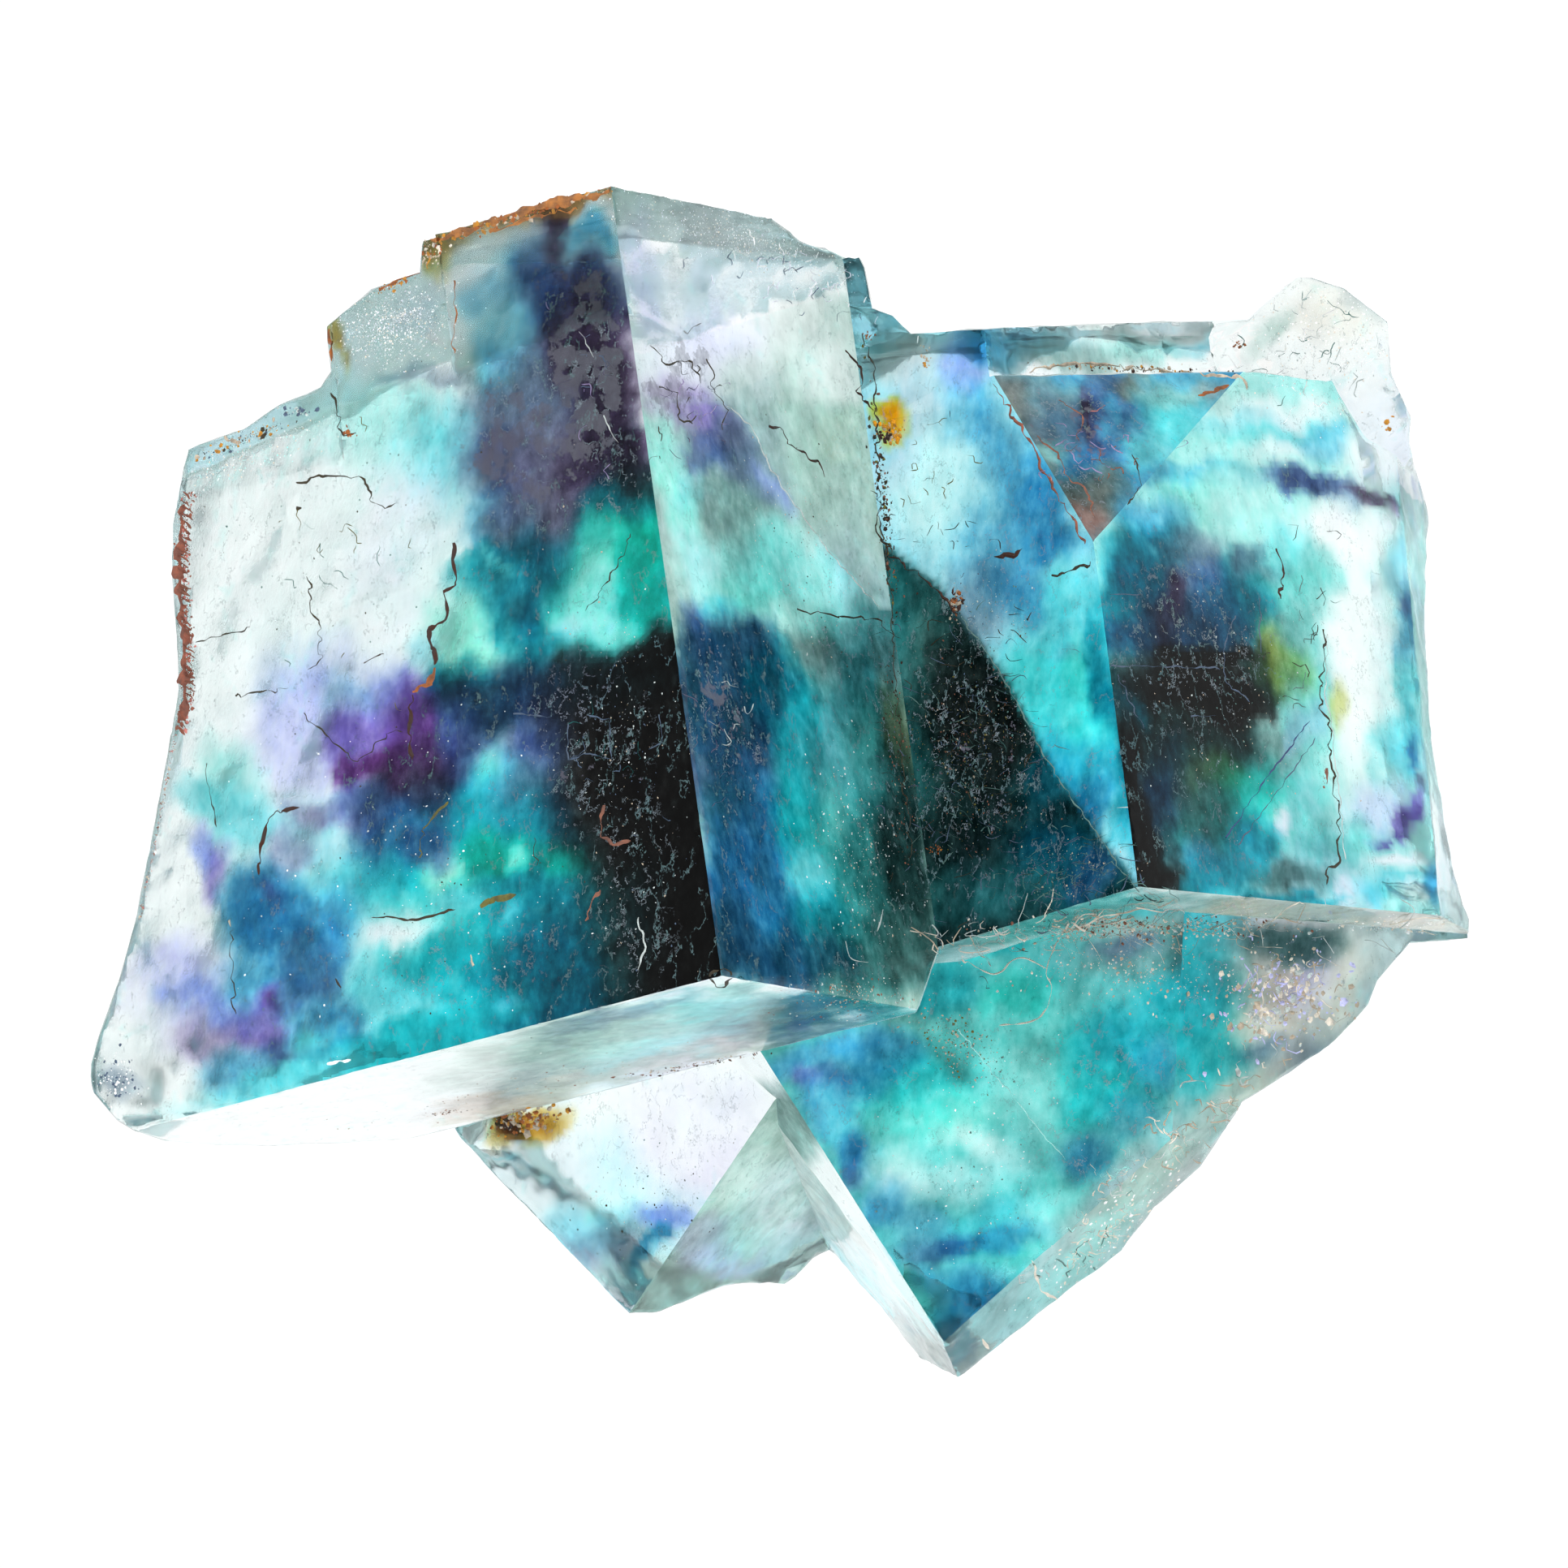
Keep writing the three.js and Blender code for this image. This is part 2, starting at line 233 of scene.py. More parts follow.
def smooth(low, high, value):
    t = np.clip((value - low) / (high - low), 0, 1)
    return t * t * (3 - 2 * t)


# %% [markdown]
# ## Relief
# The cube faces stay flat. Broken places are rough and shell-shaped, and long handling has knocked
# tiny nicks out of the sharp edges. All of it is pushed into the points.

# %% Push the relief into the surface
RELIEF = {"knob": 0.05, "break": 0.07, "back": 0.05, "lower side": 0.02}  # mm, and none on the flats
SHELL_SIZE = 1.3  # mm across the broken shells
EDGE_WEAR = 0.05  # mm
NICK_SIZE = 0.9
SHARP = math.radians(25)
ON_FLOOR = 0.02  # mm

amount_of = np.array([RELIEF.get(name, 0.0) for name in NAMES])
height = np.zeros(len(place))
count = np.zeros(len(place))
push = np.zeros_like(place)
for i in range(3):
    np.add.at(height, triangles[:, i], amount_of[kind])
    np.add.at(count, triangles[:, i], 1)
    np.add.at(push, triangles[:, i], normals)
height /= np.maximum(count, 1)
push /= np.maximum(np.linalg.norm(push, axis=1, keepdims=True), 1e-9)

rise = height * (0.5 - 2 * np.abs(clouds(place, SHELL_SIZE, 4, seed=5)))

edge_ends = read(data.edges, "vertices", np.int32, 2)
worn = np.zeros(len(place))
sharp = np.abs(creased) > SHARP
np.maximum.at(worn, edge_ends[sharp].ravel(), np.repeat(np.sign(creased[sharp]), 2))
nicks = 0.35 + 0.65 * smooth(-0.1, 0.7, clouds(place, NICK_SIZE, 3, seed=21))
rise -= worn * EDGE_WEAR * nicks
rise[place[:, 2] < ON_FLOOR] = 0  # the flat that it rests on stays flat
place = place + push * rise[:, None]
place[:, 2] = np.maximum(place[:, 2], 0)
data.vertices.foreach_set("co", (place * MM).ravel())
data.update()
print("relief from", round(rise.min(), 3), "to", round(rise.max(), 3), "mm")

# %% [markdown]
# ## Colour zones
# Fluorite's colour changes with the water it grew from, so it hangs in the crystal as soft clouds with
# straight growth fronts here and there. Each zone below is one such cloud on the face that it shows
# through, but the pale zones along the top of the large crystal are partly painted light: a highlight
# on its left face and a sheen of reflected light on its right face. Later zones lie over earlier ones.

# %% Palette
PALETTE = {
    "white": (1.0, 1.0, 1.0), "pale aqua": (0.88, 0.98, 0.96), "aqua": (0.68, 0.93, 0.91),
    "mint": (0.60, 0.96, 0.88), "cyan": (0.35, 0.82, 0.86), "turquoise": (0.06, 0.64, 0.67),
    "teal": (0.03, 0.44, 0.50), "deep teal": (0.01, 0.27, 0.35), "emerald": (0.02, 0.60, 0.52),
    "sky": (0.60, 0.86, 0.91), "azure": (0.26, 0.60, 0.76), "blue": (0.12, 0.42, 0.61),
    "indigo": (0.17, 0.26, 0.46), "navy": (0.05, 0.16, 0.25), "black": (0.0, 0.0, 0.01),
    "violet": (0.42, 0.35, 0.70), "purple": (0.30, 0.14, 0.38), "plum": (0.14, 0.10, 0.18),
    "periwinkle": (0.55, 0.62, 0.90), "lilac": (0.80, 0.80, 0.97), "lavender": (0.92, 0.92, 0.97),
    "slate": (0.30, 0.37, 0.46), "mauve": (0.60, 0.54, 0.70), "dusk": (0.34, 0.33, 0.43),
    "grey green": (0.62, 0.74, 0.70), "sage": (0.36, 0.50, 0.48), "moss": (0.16, 0.30, 0.29),
    "bottle": (0.03, 0.09, 0.09), "mist": (0.76, 0.80, 0.79), "cream": (0.92, 0.88, 0.82),
    "sand": (0.74, 0.68, 0.60), "olive": (0.64, 0.66, 0.24), "amber": (0.93, 0.62, 0.05),
    "rust": (0.60, 0.34, 0.15), "umber": (0.22, 0.10, 0.04), "rose": (0.72, 0.45, 0.42),
    "bark": (0.20, 0.17, 0.10), "clay": (0.52, 0.33, 0.26), "gilt": (0.76, 0.52, 0.16),
    "moss stain": (0.40, 0.38, 0.16), "pine": (0.10, 0.36, 0.36), "brick": (0.52, 0.30, 0.23),
    "toffee": (0.62, 0.40, 0.20), "lagoon": (0.34, 0.74, 0.72),
}

# %% The zones, face by face
# Each face has its own colour and then its zones: middle x, y and reach x, y in mm, turned by degrees,
# colour, strength from 0 to 1.
ZONES = {
    "large left": ["white",
        (-10.5, 5.5, 3.6, 5.0, 0, "pale aqua", 0.5), (-12.6, 4.6, 3.4, 4.0, 0, "white", 0.8),
        (-9.3, 8.8, 1.9, 1.2, 0, "aqua", 0.7), (-8.2, 8.2, 0.9, 1.2, 0, "cyan", 0.5),
        (-9.6, 11.2, 1.6, 1.0, 10, "white", 1.0), (-8.9, 11.4, 0.6, 0.8, 0, "lavender", 0.6),
        (-8.6, 10.1, 1.0, 0.2, 5, "slate", 0.5), (-7.6, 10.4, 0.6, 0.5, 0, "sage", 0.4),
        (-7.2, 13.3, 1.3, 0.35, 15, "cream", 0.8), (-6.9, 12.1, 0.9, 0.6, 0, "azure", 0.8),
        (-6.7, 12.7, 0.5, 0.3, 0, "sky", 0.8), (-7.0, 11.2, 0.7, 0.6, 0, "sky", 0.6),
        (-6.2, 12.2, 0.7, 0.9, 0, "blue", 0.85), (-5.6, 12.2, 0.8, 1.2, 0, "indigo", 0.9),
        (-5.6, 13.6, 0.3, 0.9, 15, "plum", 0.9), (-4.6, 13.4, 0.7, 0.45, -3, "azure", 0.95),
        (-4.6, 13.1, 0.6, 0.15, 0, "sky", 0.8), (-4.7, 12.0, 0.8, 0.9, 0, "indigo", 0.9),
        (-6.6, 10.8, 0.9, 0.6, 0, "azure", 0.6), (-6.9, 10.0, 0.5, 0.5, 0, "cyan", 0.7),
        (-5.9, 10.3, 0.8, 1.0, 0, "slate", 0.8), (-4.6, 10.0, 0.9, 2.2, 6, "plum", 1.0),
        (-4.2, 9.0, 0.7, 1.6, 6, "plum", 1.0), (-5.2, 11.2, 0.7, 0.8, 0, "plum", 0.6),
        (-6.2, 9.0, 1.4, 1.1, 0, "slate", 0.9), (-6.9, 7.9, 0.9, 0.8, 0, "slate", 0.8),
        (-6.9, 8.3, 0.6, 0.5, 0, "indigo", 0.6), (-6.7, 7.3, 0.6, 0.35, 10, "indigo", 0.9),
        (-6.8, 6.6, 0.35, 0.3, 0, "violet", 0.7), (-5.6, 7.4, 1.3, 1.3, 0, "dusk", 0.9),
        (-4.2, 7.7, 0.9, 0.9, 0, "plum", 0.8), (-3.7, 7.2, 0.6, 0.8, 0, "bottle", 0.6),
        (-7.2, 6.2, 0.5, 1.0, 0, "azure", 0.6), (-6.3, 6.2, 0.9, 0.8, 0, "slate", 0.85),
        (-5.4, 6.3, 0.6, 0.9, -30, "dusk", 0.7), (-7.0, 5.0, 0.9, 0.6, 0, "teal", 0.85),
        (-6.2, 4.6, 0.9, 1.3, -10, "deep teal", 0.95), (-6.9, 5.3, 0.5, 0.12, -35, "aqua", 0.6),
        (-4.0, 5.2, 1.3, 1.9, -25, "emerald", 1.0), (-3.9, 6.9, 0.7, 0.4, 0, "teal", 0.8),
        (-4.6, 5.0, 0.9, 1.4, -30, "mint", 0.95), (-4.3, 3.9, 1.0, 0.5, 0, "mint", 0.95),
        (-5.2, 3.7, 0.4, 0.35, 0, "aqua", 0.8), (-3.3, 5.2, 0.45, 1.5, 8, "emerald", 0.9),
        (-7.7, 3.8, 0.9, 0.8, 0, "mint", 0.9), (-7.3, 3.0, 0.6, 0.4, 0, "mint", 0.9),
        (-6.0, 3.4, 0.7, 0.5, 0, "teal", 0.8), (-6.3, 2.3, 1.5, 0.7, 0, "navy", 0.95),
        (-5.6, 1.5, 0.9, 0.9, 0, "indigo", 0.8), (-6.1, 0.4, 0.8, 0.9, 0, "indigo", 0.6),
        (-10.3, 1.9, 2.0, 1.2, -20, "periwinkle", 0.85), (-11.4, 1.2, 1.4, 1.4, 0, "lilac", 0.8),
        (-10.6, 0.8, 0.4, 1.1, 0, "violet", 0.9), (-9.9, 2.6, 0.9, 0.5, -30, "periwinkle", 0.7),
        (-9.2, 1.6, 1.2, 0.9, 0, "violet", 0.85), (-8.7, 0.6, 1.2, 1.4, 0, "purple", 0.7),
        (-9.7, 0.5, 0.7, 0.4, 20, "purple", 0.95), (-10.7, 0.2, 0.4, 0.35, 0, "purple", 0.9),
        (-8.7, -0.6, 1.0, 1.4, -10, "plum", 0.85), (-9.7, -0.8, 0.9, 0.6, 0, "indigo", 0.8),
        (-9.3, -1.6, 1.2, 0.8, 0, "indigo", 0.75), (-8.8, 3.3, 0.4, 0.5, 0, "sky", 0.7),
        (-7.9, 2.6, 0.6, 0.5, 0, "deep teal", 0.9), (-7.6, 1.9, 0.8, 0.7, -20, "navy", 0.9),
        (-7.9, 1.2, 0.5, 0.9, 0, "indigo", 0.8), (-7.5, -0.4, 0.6, 0.5, 0, "turquoise", 0.9),
        (-7.0, 0.2, 0.7, 0.8, 0, "cyan", 0.95), (-7.1, 0.5, 0.35, 0.4, 0, "mint", 0.6),
        (-6.0, -0.3, 0.7, 0.7, 0, "slate", 0.7), (-5.3, -0.9, 0.6, 1.1, 0, "navy", 0.8),
        (-10.6, -2.6, 1.6, 0.9, 5, "cyan", 0.6), (-11.2, -3.4, 0.9, 0.9, 0, "azure", 0.7),
        (-7.4, -2.6, 2.6, 2.2, 10, "turquoise", 0.95), (-5.8, -2.6, 1.3, 1.8, 0, "teal", 0.9),
        (-5.3, -1.7, 0.6, 0.5, 0, "emerald", 0.8), (-6.7, -1.7, 0.7, 0.5, 0, "emerald", 0.9),
        (-6.5, -1.8, 0.35, 0.35, 0, "mint", 0.9), (-8.0, -1.8, 0.5, 0.4, 0, "mint", 1.0),
        (-8.3, -2.2, 0.5, 0.5, 0, "mint", 0.9), (-7.2, -1.5, 0.5, 0.5, 0, "emerald", 0.8),
        (-7.8, -2.7, 0.7, 0.4, 10, "cyan", 0.8), (-9.2, -3.7, 1.6, 0.9, 8, "aqua", 0.9),
        (-9.3, -3.7, 1.1, 0.5, 8, "white", 0.95), (-6.5, -3.2, 0.3, 0.3, 0, "sky", 0.9),
        (-9.6, -4.9, 1.6, 0.6, 5, "cyan", 0.85), (-8.2, -4.5, 1.2, 0.8, 0, "turquoise", 0.95),
        (-9.2, -5.5, 1.4, 0.6, 10, "cyan", 0.7), (-6.8, -4.2, 1.2, 0.9, 0, "turquoise", 0.7),
        (-6.4, -4.6, 1.2, 0.7, 10, "teal", 0.85), (-7.2, -5.3, 0.9, 0.4, 10, "turquoise", 0.9),
        (-6.6, -5.3, 0.4, 0.2, 10, "sky", 0.7), (-5.3, -4.4, 1.2, 1.4, 0, "deep teal", 0.95),
        (-11.8, -1.2, 0.9, 0.9, 20, "sky", 0.9), (-11.2, -0.7, 1.0, 0.3, -15, "mauve", 0.7),
        (-12.2, -1.9, 0.5, 0.9, -20, "mauve", 0.5), (-13.6, 0.2, 0.8, 0.9, 0, "aqua", 0.9),
        (-14.3, -0.2, 0.7, 0.5, -30, "cyan", 0.6), (-13.3, -1.0, 0.7, 0.9, 0, "cyan", 0.6),
        (-14.3, -1.6, 0.35, 0.7, 20, "periwinkle", 0.9), (-13.9, -2.3, 0.35, 0.6, 0, "violet", 0.5),
        (-12.6, -3.0, 0.9, 0.8, 0, "blue", 0.9), (-12.9, -3.7, 0.7, 0.6, 0, "blue", 0.8),
        (-12.4, -2.8, 0.5, 0.25, -20, "indigo", 0.8), (-11.9, -3.9, 1.0, 1.0, 0, "blue", 0.8),
        (-12.6, -4.6, 1.0, 0.6, 0, "azure", 0.85), (-11.6, -4.6, 0.5, 0.7, 0, "indigo", 0.6),
        (-13.4, -5.3, 0.8, 0.7, 0, "azure", 0.7), (-12.4, -5.3, 0.4, 0.4, 0, "violet", 0.9),
        (-12.3, -5.4, 0.25, 0.25, 0, "purple", 0.8), (-14.6, -4.6, 0.8, 0.9, 0, "lilac", 0.9),
        (-14.3, -5.3, 0.9, 0.5, -20, "periwinkle", 0.9), (-15.3, -4.4, 0.6, 0.6, 0, "lilac", 0.8),
        (-15.8, -5.2, 0.7, 1.0, -20, "lavender", 0.6), (-15.0, -6.0, 1.4, 0.6, -25, "lavender", 0.8),
        (-14.0, -6.2, 0.9, 0.5, -20, "mauve", 0.7), (-12.8, -6.0, 0.9, 0.5, -20, "violet", 0.7),
        (-12.4, -6.6, 0.5, 0.4, 0, "indigo", 0.7), (-13.4, -7.0, 0.9, 0.5, 10, "azure", 0.7),
        (-11.6, -5.6, 0.7, 0.6, 0, "azure", 0.8), (-11.3, -6.3, 0.9, 0.4, 10, "cyan", 0.95),
        (-10.8, -5.8, 0.6, 0.5, 0, "blue", 0.5), (-11.6, -6.9, 1.4, 0.25, 13, "cyan", 0.95),
        (-10.5, -6.4, 1.0, 0.35, 13, "azure", 0.8), (-9.0, -6.1, 2.0, 0.35, 13, "turquoise", 0.9),
        (-10.6, -6.9, 3.4, 0.4, 13, "cyan", 0.9), (-7.5, -6.2, 2.5, 0.5, 13, "turquoise", 0.95),
        (-4.6, -5.5, 2.0, 0.5, 13, "deep teal", 0.95), (-6.4, 14.0, 2.6, 0.35, 16, "toffee", 0.8),
        (-8.5, 13.1, 0.3, 0.5, 0, "gilt", 0.5), (-10.9, 10.8, 0.15, 0.7, 0, "gilt", 0.5),
        (-16.0, -6.6, 0.9, 1.0, -10, "white", 0.9), (-16.3, -7.4, 0.5, 0.3, -20, "slate", 0.3),
        # The white zones along the top edge lighten it: they are clear crystal, and partly a painted
        # highlight.
        (-7.4, 13.1, 1.0, 0.6, 15, "white", 0.9), (-6.9, 12.2, 0.7, 0.8, 0, "white", 0.6),
        (-5.4, 13.2, 1.2, 0.5, 5, "white", 0.45), (-6.8, 11.4, 0.6, 0.5, 0, "sky", 0.5),
        (-8.7, 10.5, 0.8, 0.6, 0, "white", 0.7), (-6.9, 4.9, 0.8, 0.6, 0, "cyan", 0.6),
        (-7.8, 3.1, 0.6, 0.5, 0, "mint", 0.6), (-10.5, 3.1, 0.9, 0.5, 0, "white", 0.7),
        (-10.5, 2.2, 0.8, 0.5, 0, "sky", 0.5), (-8.7, -1.5, 0.7, 0.5, 0, "indigo", 0.6),
        (-10.5, -0.6, 0.7, 0.5, 0, "indigo", 0.5), (-11.5, -4.3, 0.6, 0.5, 0, "azure", 0.6),
    ],
    "large right": ["grey green",
        # The pale zones near the top of this face are its frosting, and partly a painted sheen of reflected
        # light.
        (-1.6, 12.4, 3.0, 2.6, 0, "white", 1.0), (-2.6, 11.4, 1.4, 1.4, 0, "lavender", 0.6),
        (1.2, 12.6, 1.0, 0.6, 0, "white", 0.8), (0.8, 11.4, 1.0, 0.8, 0, "mist", 0.4),
        (-1.6, 11.0, 1.0, 0.7, 0, "lilac", 0.3), (-3.4, 12.4, 0.4, 1.4, 8, "lilac", 0.5),
        (-2.6, 9.9, 0.9, 0.8, 0, "lavender", 0.8), (-2.4, 9.2, 0.9, 0.5, -30, "mauve", 0.6),
        (-1.6, 8.8, 0.8, 0.5, -30, "violet", 0.6), (-1.0, 8.2, 0.9, 0.6, -45, "slate", 0.8),
        (-1.8, 8.2, 0.5, 0.4, 0, "indigo", 0.6), (-0.3, 7.3, 0.7, 0.4, -45, "periwinkle", 0.7),
        (-1.0, 7.0, 0.9, 0.6, -30, "sage", 0.6), (-2.9, 8.0, 0.5, 0.8, 8, "mint", 0.9),
        (-2.4, 6.6, 0.5, 0.9, 8, "mint", 0.95), (-2.2, 7.3, 0.4, 0.7, 0, "cyan", 0.4),
        (-1.0, 6.2, 0.8, 0.6, 0, "sage", 0.35), (-1.9, 5.3, 0.7, 0.9, 8, "aqua", 0.95),
        (0.1, 6.0, 0.7, 0.6, -45, "aqua", 0.7), (0.9, 5.3, 0.9, 0.7, -20, "aqua", 0.95),
        (1.0, 4.9, 0.9, 0.5, 0, "pale aqua", 0.8), (-0.6, 4.9, 0.7, 0.5, 0, "mint", 0.8),
        (-1.4, 4.4, 0.5, 0.3, 0, "cyan", 0.8), (0.6, 3.7, 1.5, 0.6, 0, "aqua", 0.5),
        (0.9, 3.2, 1.4, 0.5, 0, "sage", 0.8), (1.9, 3.6, 0.9, 0.6, 0, "moss", 0.7),
        (-1.9, 3.4, 0.5, 0.9, 8, "indigo", 0.9), (-1.1, 3.4, 0.9, 0.7, 0, "navy", 0.85),
        (-0.9, 1.8, 1.1, 1.5, 8, "navy", 0.95), (-1.9, 1.6, 0.4, 1.2, 8, "indigo", 0.8),
        (-0.2, 2.6, 0.5, 0.9, 0, "deep teal", 0.8), (-1.4, 0.3, 0.9, 1.0, 8, "indigo", 0.8),
        (-0.9, -0.6, 0.9, 0.8, 0, "blue", 0.8), (-0.4, -2.2, 1.2, 2.4, 8, "blue", 0.95),
        (-1.2, -2.0, 0.5, 1.5, 8, "blue", 0.9), (0.2, -4.0, 0.9, 0.8, 0, "blue", 0.95),
        (0.5, 0.9, 0.5, 1.6, 8, "turquoise", 0.95), (0.3, -0.8, 0.6, 0.8, 0, "turquoise", 0.9),
        (1.2, -0.8, 0.9, 2.6, 8, "turquoise", 0.85), (1.5, 1.2, 0.7, 1.0, 0, "cyan", 0.6),
        (0.6, -2.3, 0.5, 0.8, 8, "cyan", 0.95), (1.3, -0.6, 0.9, 2.4, 8, "sage", 0.5),
        (1.2, -0.6, 0.4, 0.9, 8, "mint", 0.5),
        (2.2, 2.2, 0.8, 1.6, 8, "pine", 0.8), (2.6, 0.2, 0.7, 2.2, 8, "pine", 0.9),
        (2.3, -1.8, 0.8, 1.4, 8, "pine", 0.8), (3.1, -1.5, 0.6, 2.4, 8, "bottle", 0.8),
        (1.0, -3.6, 0.9, 0.8, 0, "teal", 0.8), (2.0, -4.1, 1.3, 1.1, 0, "pine", 0.9),
        (3.1, -4.0, 0.9, 0.9, 0, "moss", 0.9), (2.7, 3.6, 0.4, 1.4, 8, "moss", 0.8),
        (3.0, 1.3, 0.35, 1.2, 8, "bark", 0.5),
        (-2.2, 2.2, 0.4, 1.4, 8, "navy", 0.8), (-1.2, -0.6, 0.7, 1.8, 8, "navy", 0.6),
        (-1.2, -3.6, 0.5, 1.0, 8, "navy", 0.6), (0.2, -4.2, 1.4, 0.6, 0, "navy", 0.5),
        (-0.4, 5.2, 0.9, 1.0, 0, "lagoon", 0.7), (1.2, 4.9, 1.4, 0.7, 0, "lagoon", 0.4),
        (1.6, 3.9, 1.0, 0.5, 0, "lagoon", 0.6), (1.9, 0.9, 0.6, 0.9, 8, "lagoon", 0.5),
        (1.4, 10.0, 0.9, 1.0, 0, "white", 0.7),
    ],
    "large under": ["white",
        (-4.6, -6.3, 3.2, 0.9, 13, "grey green", 0.9), (-6.8, -7.2, 1.2, 0.5, 10, "mist", 0.9),
        (-3.8, -5.6, 1.6, 0.2, 14, "slate", 0.5), (-2.4, -6.3, 1.8, 0.4, 10, "aqua", 0.8),
        (-1.2, -5.4, 1.2, 0.3, 5, "aqua", 0.5), (0.4, -5.3, 1.5, 0.3, -3, "slate", 0.6),
        (0.2, -5.7, 1.5, 0.35, 5, "moss", 0.7), (2.0, -5.2, 1.4, 0.4, -4, "pine", 0.8),
        (-0.4, -6.2, 1.2, 0.2, 8, "sand", 0.7), (-3.4, -6.9, 2.6, 0.2, 12, "sand", 0.45),
        (-1.4, -5.3, 1.7, 0.4, 5, "lagoon", 0.6), (0.2, -6.0, 1.2, 0.35, 5, "moss", 0.4),
        (-6.8, -7.9, 1.6, 0.3, 8, "sand", 0.7),
    ],
    "right left": ["sky",
        (3.0, 10.6, 0.8, 0.6, 0, "mist", 0.7), (3.4, 9.7, 0.7, 0.9, 0, "lavender", 0.5),
        (4.6, 10.4, 0.7, 0.6, 0, "periwinkle", 0.8), (5.3, 10.8, 0.8, 0.4, 0, "blue", 0.7),
        (4.6, 9.4, 0.7, 0.7, 0, "azure", 0.5), (4.8, 8.9, 0.9, 0.5, 0, "azure", 0.8),
        (3.6, 7.6, 1.0, 1.6, 0, "pale aqua", 0.6), (5.7, 7.9, 0.8, 0.8, 0, "azure", 0.8),
        (6.3, 7.0, 0.7, 0.9, -20, "blue", 0.85), (5.4, 6.4, 0.8, 0.6, 0, "azure", 0.7),
        (6.6, 5.9, 0.7, 0.5, 0, "blue", 0.9), (5.4, 5.4, 0.9, 0.6, 0, "azure", 0.9),
        (5.0, 4.6, 0.8, 0.9, 0, "slate", 0.5), (5.9, 4.7, 0.8, 0.6, 0, "blue", 0.6),
        (7.0, 4.8, 0.5, 0.7, 0, "cyan", 0.8), (7.1, 3.4, 0.35, 0.25, 0, "mauve", 0.7),
        (7.4, 2.6, 0.45, 1.1, 8, "mint", 0.9), (6.4, 2.6, 0.7, 0.9, 0, "aqua", 0.8),
        (7.2, 1.6, 0.5, 0.6, 0, "aqua", 0.9), (7.0, 0.9, 0.6, 0.5, 0, "azure", 0.8),
        (7.5, 0.2, 0.5, 0.8, 8, "azure", 0.9), (7.4, -0.6, 0.5, 0.7, 8, "blue", 1.0),
        (6.6, 0.2, 0.5, 0.6, 0, "blue", 0.6), (2.6, 9.0, 0.35, 0.5, 0, "amber", 1.0),
        (7.0, 1.8, 1.3, 2.2, 12, "turquoise", 0.45), (8.0, 3.4, 0.4, 1.8, 8, "teal", 0.4),
        (8.2, 1.1, 0.35, 2.4, 8, "deep teal", 0.6),
    ],
    "right right": ["aqua",
        (9.8, 9.5, 1.6, 0.35, 0, "mist", 0.6), (12.3, 9.2, 1.6, 0.3, -2, "white", 0.8),
        (11.0, 9.0, 1.4, 0.3, 0, "sky", 0.7), (10.2, 8.5, 1.0, 0.3, 0, "pale aqua", 0.7),
        (12.4, 8.6, 1.6, 0.25, 0, "cyan", 0.5), (11.4, 8.2, 1.6, 0.3, 0, "white", 0.8),
        (13.5, 8.4, 0.5, 0.5, 0, "azure", 0.5), (9.8, 7.7, 1.4, 0.3, 0, "azure", 0.8),
        (11.2, 7.6, 0.9, 0.25, 0, "sky", 0.8), (10.1, 7.0, 0.7, 0.6, 0, "mint", 0.7),
        (11.0, 7.2, 0.9, 0.5, 0, "pale aqua", 0.6), (13.1, 7.4, 1.0, 0.28, -14, "indigo", 0.85),
        (14.5, 7.1, 0.6, 0.15, -15, "plum", 0.9), (12.6, 7.5, 0.4, 0.25, 0, "indigo", 0.4),
        (15.0, 6.8, 0.18, 0.3, 0, "mauve", 0.9), (14.6, 8.1, 0.8, 0.8, 0, "white", 0.9),
        (13.8, 6.3, 1.3, 0.6, 0, "white", 0.95), (12.5, 5.7, 0.8, 0.4, 0, "pale aqua", 0.7),
        (9.2, 6.6, 0.9, 0.5, 0, "azure", 0.7), (8.0, 5.6, 0.35, 0.5, 0, "cyan", 0.9),
        (9.1, 5.7, 0.9, 0.7, 0, "deep teal", 0.75), (10.0, 5.9, 0.9, 0.4, 0, "slate", 0.6),
        (9.8, 5.2, 0.8, 0.5, 0, "slate", 0.6), (10.6, 4.9, 0.6, 0.7, 0, "indigo", 0.6),
        (8.6, 4.7, 0.8, 0.8, 0, "deep teal", 0.95), (9.6, 4.7, 0.3, 0.5, 0, "plum", 0.9),
        (8.1, 4.0, 0.4, 0.9, 5, "teal", 0.8), (9.0, 3.6, 0.9, 0.5, 0, "navy", 0.9),
        (9.5, 4.0, 0.6, 0.7, 0, "plum", 0.8), (11.4, 4.6, 0.8, 0.9, 0, "deep teal", 0.8),
        (11.6, 5.4, 0.4, 0.4, 0, "slate", 0.8), (12.3, 5.3, 0.4, 0.2, 0, "slate", 0.6),
        (10.4, 3.8, 0.9, 0.8, 0, "navy", 0.9), (10.3, 3.2, 1.2, 0.3, 0, "black", 0.9),
        (9.8, 2.3, 1.6, 0.7, -3, "black", 0.85), (10.9, 2.0, 1.0, 0.6, -10, "black", 0.95),
        (11.9, 2.6, 0.6, 0.7, 0, "bottle", 0.9), (9.6, 1.0, 1.2, 0.9, 0, "bottle", 0.95),
        (8.5, 1.7, 0.4, 0.9, 0, "deep teal", 0.7), (11.0, 0.9, 0.8, 0.5, 0, "bottle", 0.9),
        (8.6, -0.6, 0.45, 2.2, 14, "black", 1.0), (9.1, -1.6, 0.6, 1.2, 10, "black", 0.95),
        (9.5, -0.3, 0.6, 1.2, 0, "navy", 0.95), (10.1, -1.4, 0.7, 1.0, 0, "pine", 0.95),
        (10.6, 0.0, 0.9, 1.0, 0, "moss", 0.9), (10.8, 0.3, 0.6, 0.5, 0, "moss stain", 0.4),
        (11.7, -0.4, 1.1, 1.0, -40, "emerald", 0.6), (12.4, 0.8, 0.7, 0.6, -40, "sage", 0.7),
